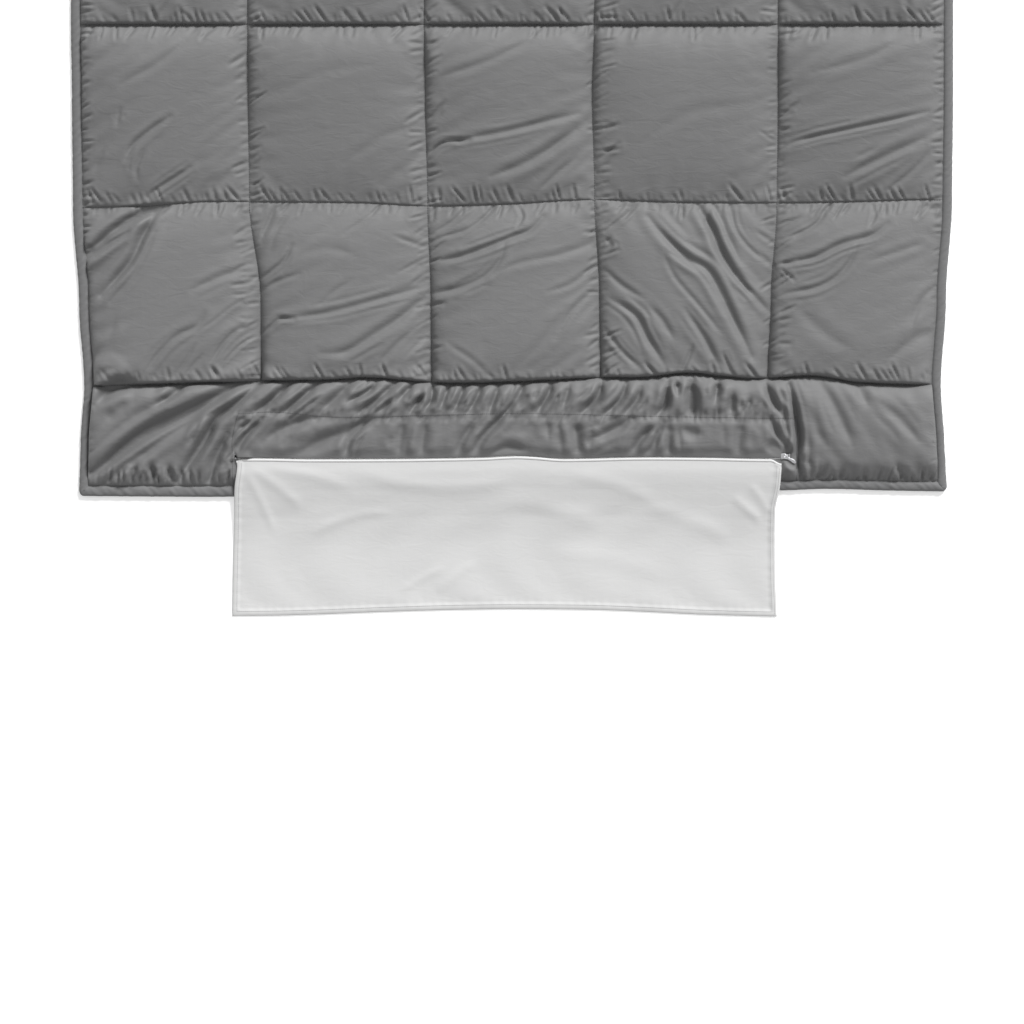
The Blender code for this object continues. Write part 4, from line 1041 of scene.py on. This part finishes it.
    beside = np.maximum(PANEL_LEFT - pattern_x, pattern_x - PANEL_RIGHT)
    ceiling = panel_height(pattern_y) - 0.0022 + np.clip(beside - 0.004, 0, 1) * 0.9
    height = np.where(pattern_y < ROOT, np.minimum(height, ceiling), height)
    under_panel = (pattern_x > PANEL_LEFT - 0.012) & (pattern_x < PANEL_RIGHT + 0.012) & (pattern_y >= ROOT)
    lifted = LIFTED_PANEL[0] + LIFTED_PANEL[1] * (pattern_y - ROOT)
    height = np.where(under_panel, np.minimum(height, lifted), height)
    in_span = (pattern_x > slot_left - 1e-5) & (pattern_x < slot_right + 1e-5)
    below = (1 - smooth((ROOT - pattern_y) / 0.006)) * in_span * (pattern_y < ROOT + 1e-5)
    height = height * (1 - below) + (PLATEAU + 0.0004) * below
    lip = (1 - smooth((pattern_y - SLOT_UPPER) / 0.016)) * in_span * (pattern_y > SLOT_UPPER - 1e-5)
    edge = np.exp(-np.clip(pattern_y - SLOT_UPPER, 0, 1) / 0.0022)
    middle = smooth((pattern_x - slot_left) / 0.005) * smooth((SLIDE_RIGHT + 0.003 - pattern_x) / 0.003)
    garage = smooth((pattern_x - slot_left) / 0.007) * smooth((SLIDE_LEFT + 0.012 - pattern_x) / 0.011)
    lip_top = PLATEAU + 0.0004 + middle * (0.0022 - 0.0010 * edge)
    lip_top += garage * (GARAGE_TOP - PLATEAU - 0.0026)
    height = height * (1 - lip) + lip_top * lip
    reach = (1 - smooth((pattern_y - SLOT_UPPER) / 0.030)) * (pattern_y > SLOT_UPPER - 1e-5)
    placed_y = placed_y - LIP_DROP * reach * middle

    middle_x, middle_y = SLIDER_MIDDLE.x, SLIDER_MIDDLE.y
    step_x, step_y = PULL_TIP[0] - middle_x, PULL_TIP[1] - middle_y
    share = ((placed_x - middle_x) * step_x + (placed_y - middle_y) * step_y) / (step_x**2 + step_y**2)
    share = np.clip(share, -1.0, 1.0)
    gap = np.hypot(placed_x - middle_x - share * step_x, placed_y - middle_y - share * step_y)
    height = np.minimum(height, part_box("pull_tab")[0].z - 0.0012 + np.clip(gap - 0.008, 0, 1) * 0.7)

    points = np.stack([placed_x + moved[..., 0], placed_y + moved[..., 1], height], axis=-1)
    in_slot = (pattern_x[:-1, :-1] > slot_left - 1e-5) & (pattern_x[1:, 1:] < slot_right + 1e-5)
    in_slot &= (pattern_y[:-1, :-1] > ROOT - 1e-5) & (pattern_y[1:, 1:] < SLOT_UPPER + 1e-5)
    return new_xs, new_ys, points, in_slot


def make_face():
    new_xs, new_ys, points, in_slot = whole_face()
    faces = grid_faces(len(new_ys), len(new_xs))[~in_slot.ravel()]
    face = mesh_from("quilt_face", points.reshape(-1, 3), faces, [FACE])
    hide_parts("face_fabric_foot_half", "face_fabric_head_half")
    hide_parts("fill_foot_rows", "fill_head_half", "border_fill")
    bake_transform(face)
    return new_xs, new_ys, points


face_xs, face_ys, face_points = make_face()


# ---------------------------------------------------------------- underside and binding
def make_lining():
    """The back of the quilt: flat where it lies, and drawn up along every seam."""
    stops_x = [-SIDE + EDGE, *COLUMNS, SIDE - EDGE]
    stops_y = [FOOT + EDGE, SEAM_A, SEAM_A + ROW, SEAM_A + 2 * ROW, FOLD, FOLD + ROW, FOLD + 2 * ROW]
    new_xs = lines_between(stops_x, 0.006)
    new_ys = lines_between([*stops_y, HEAD - EDGE], 0.006)
    pattern_x, pattern_y = np.meshgrid(new_xs, new_ys)
    placed_x, placed_y = laid_out(pattern_x, pattern_y)
    across = np.min(np.abs(pattern_x[..., None] - np.array(COLUMNS)), axis=-1)
    across = np.where((pattern_y < SEAM_A) | (pattern_y > FOLD + 2 * ROW), 1.0, across)
    along = np.min(np.abs(pattern_y[..., None] - np.array(stops_y[1:])), axis=-1)
    distance = np.minimum(across, along)
    random = np.random.default_rng(5)
    phase = random.uniform(0, 6.28, 6)
    pucker = np.sin(pattern_x * 290 + phase[0] + 2 * np.sin(pattern_y * 23 + phase[1]))
    pucker += np.sin(pattern_y * 270 + phase[2] + 2 * np.sin(pattern_x * 19 + phase[3]))
    lift = 0.0040 * np.exp(-((distance / 0.010) ** 2)) + 0.0004 * (pucker + 2) * np.exp(-distance / 0.03)
    points = np.stack([placed_x, placed_y, lift], axis=-1)
    faces = grid_faces(len(new_ys), len(new_xs))[:, ::-1]
    lining = mesh_from("quilt_lining", points.reshape(-1, 3), faces, [LINING])
    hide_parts("lining_foot_half", "lining_head_half")
    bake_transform(lining)


make_lining()


def make_binding():
    """A puffed strip sewn round the quilt's edge, with small slanted puckers along its stitching."""
    inner = EDGE + 0.0025
    outline = []
    corner = 0.012
    corners = (
        (SIDE - corner, FOOT + corner, -90),
        (SIDE - corner, HEAD - corner, 0),
        (-SIDE + corner, HEAD - corner, 90),
        (-SIDE + corner, FOOT + corner, 180),
    )
    for number, (cx, cy, start) in enumerate(corners):
        for step in range(7):
            angle = math.radians(start + 15 * step)
            outline.append((cx + corner * math.cos(angle), cy + corner * math.sin(angle)))
        next_x, next_y, _ = corners[(number + 1) % 4]
        angle = math.radians(start + 90)
        first = Vector((cx + corner * math.cos(angle), cy + corner * math.sin(angle)))
        last = Vector((next_x + corner * math.cos(angle), next_y + corner * math.sin(angle)))
        count = int((last - first).length / 0.004)
        for step in range(1, count):
            outline.append(tuple(first.lerp(last, step / count)))
    outline = np.array(outline)
    ahead = np.roll(outline, -1, axis=0) - np.roll(outline, 1, axis=0)
    ahead /= np.linalg.norm(ahead, axis=1, keepdims=True)
    inwards = np.stack([-ahead[:, 1], ahead[:, 0]], axis=1)
    length = np.concatenate([[0.0], np.cumsum(np.linalg.norm(np.diff(outline, axis=0), axis=1))])
    # Depth from the outer edge and height, from the underside's inner edge round to the top's.
    profile = (
        (inner, 0.0006), (0.0120, 0.0004), (0.0060, 0.0004), (0.0022, 0.0010), (0.0006, 0.0030),
        (0.0006, 0.0056), (0.0022, 0.0084), (0.0050, 0.0098), (0.0085, 0.0104), (0.0120, 0.0104),
        (0.0150, 0.0098), (0.0175, 0.0086), (0.0192, 0.0068), (inner, 0.0050),
    )
    sections = len(profile)
    top = profile[8][1]
    rows = []
    for number, (depth, height) in enumerate(profile):
        slant = 0.5 * np.sin(length * 190 + depth * 300 + 1.7 * np.sin(length * 17))
        slant += 0.4 * np.sin(length * 97 + depth * 260 + 2.3 * np.sin(length * 7))
        slant += 0.8 * np.sin(length * 331 + depth * 380 + 2.0 * np.sin(length * 29))
        slant += 0.5 * np.sin(length * 470 + depth * 420 + 2.0 * np.sin(length * 37))
        strength = 1.0 if number > 4 else 0.2
        swell = 0.0006 * slant * strength
        in_x = outline[:, 0] + inwards[:, 0] * (depth + 0.0003 - swell * 0.3)
        in_y = outline[:, 1] + inwards[:, 1] * (depth + 0.0003 - swell * 0.3)
        placed_x, placed_y = laid_out(in_x, in_y)
        rise = np.clip(height + swell * (height / top), 0.0, None)
        rows.append(np.stack([placed_x, placed_y, rise], axis=-1))
    points = np.stack(rows)
    count = len(outline)
    index = np.arange(sections * count).reshape(sections, count)
    after = np.roll(index, -1, axis=1)
    faces = np.stack([index[1:], after[1:], after[:-1], index[:-1]], axis=-1).reshape(-1, 4)
    binding = mesh_from("quilt_binding", points.reshape(-1, 3), faces, [BINDING_CLOTH])
    names = ["foot_binding", "head_binding"]
    names += [f"{side}_binding_{half}_half" for side in ("left", "right") for half in ("foot", "head")]
    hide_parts(*names)
    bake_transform(binding)


make_binding()


# ---------------------------------------------------------------- stitches
def stitch_run(points, length, pitch, width):
    """Small flattened beads along a path, each a stitch lying on the cloth."""
    points = np.asarray(points, float)
    steps = np.linalg.norm(np.diff(points, axis=0), axis=1)
    along = np.concatenate([[0.0], np.cumsum(steps)])
    starts = np.arange(pitch / 2, along[-1] - pitch / 2, pitch)
    ring = [(math.cos(a), math.sin(a)) for a in np.linspace(0, 2 * math.pi, 6, endpoint=False)]
    profile = ((-0.5, 0.25), (-0.3, 0.95), (0.3, 0.95), (0.5, 0.25))
    middle = np.stack([np.interp(starts, along, points[:, axis]) for axis in range(3)], axis=-1)
    ahead = np.stack([np.interp(starts + 0.001, along, points[:, axis]) for axis in range(3)], axis=-1)
    direction = ahead - middle
    direction /= np.linalg.norm(direction, axis=1, keepdims=True) + 1e-12
    side = np.stack([-direction[:, 1], direction[:, 0], np.zeros(len(starts))], axis=-1)
    side /= np.linalg.norm(side, axis=1, keepdims=True) + 1e-12
    up = np.cross(direction, side)
    vertices = []
    for share, size in profile:
        for across, above in ring:
            offset = direction * (share * length) + side * (across * width / 2 * size)
            vertices.append(middle + offset + up * (above * width * 0.35 * size))
    vertices = np.stack(vertices, axis=1)
    quads = []
    for band in range(3):
        for corner in range(6):
            after = (corner + 1) % 6
            quads.append((band * 6 + corner, band * 6 + after, band * 6 + 6 + after, band * 6 + 6 + corner))
    quads += [(3, 2, 1, 0), (5, 4, 3, 0), (18, 19, 20, 21), (18, 21, 22, 23)]
    quads = np.array(quads)
    count = len(starts)
    faces = (quads[None] + 24 * np.arange(count)[:, None, None]).reshape(-1, 4)
    return vertices.reshape(-1, 3), faces


def stitches(name, runs, material, length=0.0036, pitch=0.0050, width=0.0011):
    vertices = []
    faces = []
    base = 0
    for run in runs:
        some, quads = stitch_run(run, length, pitch, width)
        vertices.append(some)
        faces.append(quads + base)
        base += len(some)
    return mesh_from(name, np.concatenate(vertices), np.concatenate(faces), [material])


def face_line(along_x=None, along_y=None, start=None, stop=None, lift=0.0004):
    """Points on the face's surface along one of its pattern lines."""
    if along_y is not None:
        row = int(np.argmin(np.abs(face_ys - along_y)))
        picked = (face_xs >= start - 1e-4) & (face_xs <= stop + 1e-4)
        line = face_points[row, picked]
    else:
        column = int(np.argmin(np.abs(face_xs - along_x)))
        picked = (face_ys >= start - 1e-4) & (face_ys <= stop + 1e-4)
        line = face_points[picked, column]
    return line + np.array([0.0, 0.0, lift])


def make_quilting_stitches():
    rows = [SEAM_A + ROW * number for number in range(6)]
    runs = [face_line(along_y=y, start=-SIDE + EDGE, stop=SIDE - EDGE) for y in rows]
    runs += [face_line(along_x=x, start=SEAM_A, stop=rows[-1]) for x in COLUMNS]
    quilting = stitches("quilting_stitches", runs, THREAD)
    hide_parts("quilting_thread_foot_half", "quilting_thread_head_half")
    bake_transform(quilting)

    edge_low = FOOT + EDGE
    sides = [
        face_line(along_x=POCKET_LEFT, start=edge_low, stop=POCKET_TOP),
        face_line(along_y=POCKET_TOP, start=POCKET_LEFT, stop=POCKET_RIGHT),
        face_line(along_x=POCKET_RIGHT, start=edge_low, stop=POCKET_TOP)[::-1],
    ]
    pocket = stitches("pocket_stitches", sides, THREAD, length=0.0030, pitch=0.0042, width=0.0010)
    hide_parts("pocket_stitching")
    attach(pocket, "quilt_foot")


make_quilting_stitches()


# ---------------------------------------------------------------- zip
def make_coil(name, line_y, height, radius, material):
    """A zip coil: a wire wound into an oval spiral along the zip."""
    pitch = 0.0013
    turns = int((ZIP_RIGHT - ZIP_LEFT) / pitch)
    per_turn = 8
    count = turns * per_turn
    angle = np.arange(count) * 2 * math.pi / per_turn
    x = ZIP_LEFT + (ZIP_RIGHT - ZIP_LEFT) * np.arange(count) / (count - 1)
    wave = curve_through(ZIP_WAVE, x)
    wire = 0.00034
    reach = radius - wire
    centre = np.stack([x, line_y + wave + reach * np.cos(angle), height + reach * np.sin(angle)], axis=-1)
    ahead = np.gradient(centre, axis=0)
    ahead /= np.linalg.norm(ahead, axis=1, keepdims=True)
    out = np.stack([np.zeros(count), np.cos(angle), np.sin(angle)], axis=-1)
    out -= ahead * (out * ahead).sum(1, keepdims=True)
    out /= np.linalg.norm(out, axis=1, keepdims=True)
    other = np.cross(ahead, out)
    ring = [(1, 0), (0, 1), (-1, 0), (0, -1)]
    points = np.stack([centre + wire * (a * out + b * other) for a, b in ring], axis=1)
    index = np.arange(count * 4).reshape(count, 4)
    after = np.roll(index, -1, axis=1)
    faces = np.stack([index[:-1], after[:-1], after[1:], index[1:]], axis=-1).reshape(-1, 4)
    coil = mesh_from(name, points.reshape(-1, 3), faces, [material])
    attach(coil, "quilt_foot")
    return coil


def make_zip():
    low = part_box("zip_lower_coil")
    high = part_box("zip_upper_coil")
    radius = (low[1].z - low[0].z) / 2
    height = (low[1].z + low[0].z) / 2
    lower = make_coil("zip_coil_lower", (low[0].y + low[1].y) / 2, height, radius, COIL_WHITE)
    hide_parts("zip_lower_coil")
    upper = make_coil("zip_coil_upper", (high[0].y + high[1].y) / 2, height, radius, COIL_GREY)
    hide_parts("zip_upper_coil")


make_zip()


# ---------------------------------------------------------------- tuck-in panel
HEM = 0.012
# How far the panel's upper corners are drawn down towards the foot.
RIGHT_CORNER = 0.0095
LEFT_CORNER = 0.0035
TAPE_HEIGHT = 0.0208
PANEL_FOLD_SHARE = 0.7
PANEL_SHIFTS = (
    (PANEL_END, (-0.0040, -0.0050)),
    (PANEL_END + 0.08, (-0.0030, -0.0080)),
    (FOOT - 0.03, (0.0000, -0.0080)),
    (FOOT + 0.01, (0.0010, 0.0000)),
    (FOOT + 0.05, (0.0060, 0.0030)),
    (ROOT, (0.0050, 0.0030)),
)
PANEL_END_WAVE = (
    (PANEL_LEFT, -0.004), (-0.415, -0.002), (-0.22, 0.005), (-0.06, 0.009), (0.05, 0.0095), (0.172, 0.008),
    (0.27, 0.004), (0.37, -0.001), (PANEL_RIGHT, -0.005),
)


# Soft folds in the panel: start, end, bow, width, height.
PANEL_FOLDS = (
    ((-0.535, 0.060), (-0.40, -0.035), 0.004, 0.010, 0.0020),
    ((-0.530, 0.050), (-0.46, -0.085), 0.004, 0.008, 0.0018),
    ((-0.52, 0.060), (-0.30, 0.005), 0.006, 0.012, 0.0020),
    ((-0.31, 0.040), (0.02, 0.022), -0.020, 0.014, 0.0026),
    ((-0.40, -0.085), (-0.22, -0.040), 0.015, 0.010, 0.0022),
    ((-0.22, -0.205), (-0.12, -0.150), 0.004, 0.008, 0.0014),
    ((-0.15, -0.210), (-0.06, -0.140), 0.004, 0.010, 0.0014),
    ((0.10, 0.035), (0.30, -0.03), 0.012, 0.014, 0.0020),
    ((0.26, -0.03), (0.45, -0.10), 0.010, 0.016, 0.0020),
    ((0.43, -0.005), (0.50, -0.060), 0.003, 0.008, 0.0024),
    ((0.46, 0.020), (0.515, -0.040), 0.002, 0.007, 0.0020),
    ((-0.05, -0.02), (0.20, -0.075), 0.014, 0.018, 0.0018),
    ((0.05, -0.12), (0.34, -0.175), 0.012, 0.018, 0.0014),
)


def ridge(x, y, start, stop, bow, width):
    """A smooth ridge along a bowed line from start to stop, one high in its middle."""
    start = np.array(start)
    stop = np.array(stop)
    line = stop - start
    length = np.linalg.norm(line)
    line = line / length
    along = ((x - start[0]) * line[0] + (y - start[1]) * line[1]) / length
    across = -(x - start[0]) * line[1] + (y - start[1]) * line[0]
    across = across - bow * 4 * along * (1 - along)
    ends = smooth(np.clip(along, 0, 1) * 4) * smooth(np.clip(1 - along, 0, 1) * 4)
    ends = np.where((along <= 0) | (along >= 1), 0.0, ends)
    return ends * np.exp(-((across / width) ** 2))


def panel_points(new_xs, new_ys):
    x, y = np.meshgrid(new_xs, new_ys)
    share = (x - PANEL_LEFT) / (PANEL_RIGHT - PANEL_LEFT)
    levels = [level for level, _ in PANEL_SHIFTS]
    left = curve_through([(level, shift[0]) for level, shift in PANEL_SHIFTS], y)
    right = curve_through([(level, shift[1]) for level, shift in PANEL_SHIFTS], y)
    down = smooth((ROOT - y) / (ROOT - levels[0]))
    end_wave = curve_through(PANEL_END_WAVE, x)
    root_wave = curve_through(ZIP_WAVE, x)
    placed_x = x + left * (1 - share) + right * share
    placed_y = y + end_wave * down + root_wave * (1 - down)
    corner = smooth((x - PANEL_RIGHT + 0.022) / 0.022) * smooth((y - ROOT + 0.03) / 0.03)
    left_corner = smooth((PANEL_LEFT + 0.010 - x) / 0.010) * smooth((y - ROOT + 0.02) / 0.02)
    placed_y = placed_y - RIGHT_CORNER * corner - LEFT_CORNER * left_corner
    height = panel_height(y)
    for start, stop, bow, width, high in PANEL_FOLDS:
        rise = ridge(x, y - FOOT, start, stop, bow, width) * smooth((ROOT - y) / 0.03)
        height = height + PANEL_FOLD_SHARE * high * rise
    inside = np.minimum(np.minimum(x - PANEL_LEFT, PANEL_RIGHT - x), y - PANEL_END)
    loose = smooth(inside / 0.03)
    ripple = np.sin(x * 38 + 1.4 * np.sin(y * 21) + 0.7) * np.sin(y * 27 + 1.1 * np.sin(x * 13))
    height += 0.0012 * ripple * loose * smooth((FOOT - 0.01 - y) / 0.04)
    pucker = np.sin(x * 300 + 2.2 * np.sin(x * 41)) * np.exp(-np.abs(y - PANEL_END - HEM) / 0.006)
    pucker += np.sin(y * 320 + 2.0 * np.sin(y * 57)) * np.exp(-np.abs(x - PANEL_LEFT - HEM) / 0.005)
    pucker += np.sin(y * 300 + 2.0 * np.sin(y * 49)) * np.exp(-np.abs(PANEL_RIGHT - HEM - x) / 0.005)
    height += 0.00035 * pucker
    hem = 1 - smooth((inside - HEM + 0.0006) / 0.0012)
    edge_drop = 1 - smooth(inside / 0.0015)
    height += 0.0008 * hem - 0.0010 * edge_drop
    return np.stack([placed_x, placed_y, np.maximum(height, 0.0012)], axis=-1)


def panel_lines(start, stop):
    fine = [PANEL_LEFT, PANEL_LEFT + 0.0015, PANEL_LEFT + HEM - 0.0010, PANEL_LEFT + HEM + 0.0010]
    right = [PANEL_RIGHT - HEM - 0.0010, PANEL_RIGHT - HEM + 0.0010, PANEL_RIGHT - 0.0015, PANEL_RIGHT]
    new_xs = lines_between(fine + right, 0.004)
    stops = [start, stop]
    if start < PANEL_END + 0.001:
        stops = [start, start + 0.0015, start + HEM - 0.0010, start + HEM + 0.0010, stop]
    return new_xs, lines_between(stops, 0.004)


def panel_piece(name, start, stop, nodes):
    new_xs, new_ys = panel_lines(start, stop)
    points = panel_points(new_xs, new_ys)
    faces = grid_faces(len(new_ys), len(new_xs))
    piece = mesh_from(name, points.reshape(-1, 3), faces, [PANEL_CLOTH])
    thickness = piece.modifiers.new("thickness", "SOLIDIFY")
    thickness.thickness = 0.0006
    thickness.offset = -1.0
    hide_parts(*nodes)
    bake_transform(piece)
    return piece


def make_floor():
    size = 60.0
    corners = np.array([(-size, -size, 0), (size, -size, 0), (size, size, 0), (-size, size, 0)], float)
    corners[:, 2] = -0.0005
    floor = mesh_from("floor", corners, np.array([[0, 1, 2, 3]]), smooth_faces=False)
    material, _, shader = new_material("studio_floor")
    shader.inputs["Base Color"].default_value = (0.90, 0.90, 0.90, 1.0)
    shader.inputs["Roughness"].default_value = 0.9
    shader.inputs["Specular IOR Level"].default_value = 0.0
    shader.inputs["Emission Color"].default_value = (1.0, 1.0, 1.0, 1.0)
    shader.inputs["Emission Strength"].default_value = 0.36
    floor.data.materials.append(material)


make_floor()


def make_panel():
    """One sheet from the tape to the end, shaped to bend down where it comes off the quilt's edge."""
    nodes = ["panel_upper", "panel_lower", "panel_bottom_hem"]
    nodes += [f"panel_{side}_hem_{part}" for side in ("left", "right") for part in ("upper", "lower")]
    panel_piece(
        "panel_cloth",
        PANEL_END,
        ROOT - 0.0006,
        nodes,
    )


make_panel()


def panel_run(path, lift=0.0003):
    """Points on the panel along a path of (x, y) points of its pattern."""
    path = np.array(path, float)
    fine = []
    for start, stop in zip(path, path[1:]):
        count = max(2, int(np.linalg.norm(stop - start) / 0.004))
        fine += [start + (stop - start) * number / count for number in range(count)]
    fine.append(path[-1])
    points = [panel_points(np.array([x]), np.array([y]))[0, 0] for x, y in fine]
    return np.array(points) + np.array([0.0, 0.0, lift])


def make_panel_trim():
    inset = HEM - 0.0030
    outer = 0.0040
    stop = ROOT - 0.006
    runs = []
    for x_side, sign in ((PANEL_LEFT, 1), (PANEL_RIGHT, -1)):
        x = x_side + sign * inset
        runs.append(panel_run([(x, PANEL_END + inset), (x, stop)]))
    x = PANEL_RIGHT - outer
    runs.append(panel_run([(x, PANEL_END + outer), (x, stop)]))
    y = PANEL_END + inset
    runs.append(panel_run([(PANEL_LEFT + inset, y), (PANEL_RIGHT - inset, y)]))
    trim = stitches("panel_stitches", runs, PANEL_THREAD, 0.0028, 0.0038, 0.0008)
    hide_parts("panel_hem_thread")
    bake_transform(trim)

    new_xs = lines_between([PANEL_LEFT, PANEL_RIGHT], 0.004)
    new_ys = ROOT + np.array([-0.0034, -0.0028, -0.0004, 0.0006, 0.0013, 0.0015])
    points = panel_points(new_xs, new_ys)
    x_grid, y_grid = np.meshgrid(new_xs, new_ys)
    corner = smooth((x_grid - PANEL_RIGHT + 0.022) / 0.022)
    left_corner = smooth((PANEL_LEFT + 0.010 - x_grid) / 0.010)
    drawn = RIGHT_CORNER * corner + LEFT_CORNER * left_corner
    points[..., 1] = y_grid + curve_through(ZIP_WAVE, x_grid) - drawn
    points[..., 2] = TAPE_HEIGHT + np.array([0.0006, 0.0012, 0.0013, 0.0009, -0.0006, -0.0036])[:, None]
    faces = grid_faces(len(new_ys), len(new_xs))
    tape = mesh_from("panel_edge_tape", points.reshape(-1, 3), faces, [TAPE_WHITE])
    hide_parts("panel_top_tape")
    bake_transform(tape)


make_panel_trim()


# ---------------------------------------------------------------- CAD pieces that stay
KEPT = {
    POCKET_CLOTH: ("pocket_back_panel", "pocket_lower_panel", "pocket_upper_panel"),
    TAPE_WHITE: ("zip_lower_tape",),
    TAPE_GREY: ("zip_upper_tape",),
    METAL: ("slider_body", "pull_tab", "zip_lower_end_stop", "zip_upper_end_stop", "zip_closed_end_stop"),
}
for material, names in KEPT.items():
    for name in names:
        data = frame["nodes"][name].data
        data.materials.clear()
        data.materials.append(material)


# ---------------------------------------------------------------- light and camera
def sun_light(name, azimuth, elevation, spread, strength):
    """A broad soft light; azimuth is measured from +Y towards +X."""
    data = bpy.data.lights.new(name, "SUN")
    data.angle = math.radians(spread)
    data.energy = strength
    light = bpy.data.objects.new(name, data)
    bpy.context.scene.collection.objects.link(light)
    around, up = math.radians(azimuth), math.radians(elevation)
    towards = Vector((math.sin(around) * math.cos(up), math.cos(around) * math.cos(up), math.sin(up)))
    light.rotation_euler = towards.to_track_quat("Z", "Y").to_euler()


def make_studio():
    world = bpy.data.worlds.new("studio")
    bpy.context.scene.world = world
    world.use_nodes = True
    background = world.node_tree.nodes["Background"]
    background.inputs["Color"].default_value = (1.0, 1.0, 1.0, 1.0)
    background.inputs["Strength"].default_value = 0.50
    sun_light("head_light", azimuth=28.0, elevation=32.0, spread=18.0, strength=3.85)
    bpy.context.scene.view_settings.view_transform = "Standard"
    bpy.context.scene.view_settings.look = "None"


def make_camera():
    """A long lens straight above the foot end, upright along +Y."""
    picture = 2.007
    height = 9.0
    beyond_foot = 0.0382
    sensor = 36.0
    data = bpy.data.cameras.new("camera")
    data.sensor_width = sensor
    data.lens = sensor * height / picture
    data.clip_end = 100.0
    camera = bpy.data.objects.new("camera", data)
    bpy.context.scene.collection.objects.link(camera)
    camera.location = (0.0, FOOT - beyond_foot, height)
    camera.rotation_euler = (0.0, 0.0, 0.0)
    bpy.context.scene.camera = camera


make_studio()
make_camera()
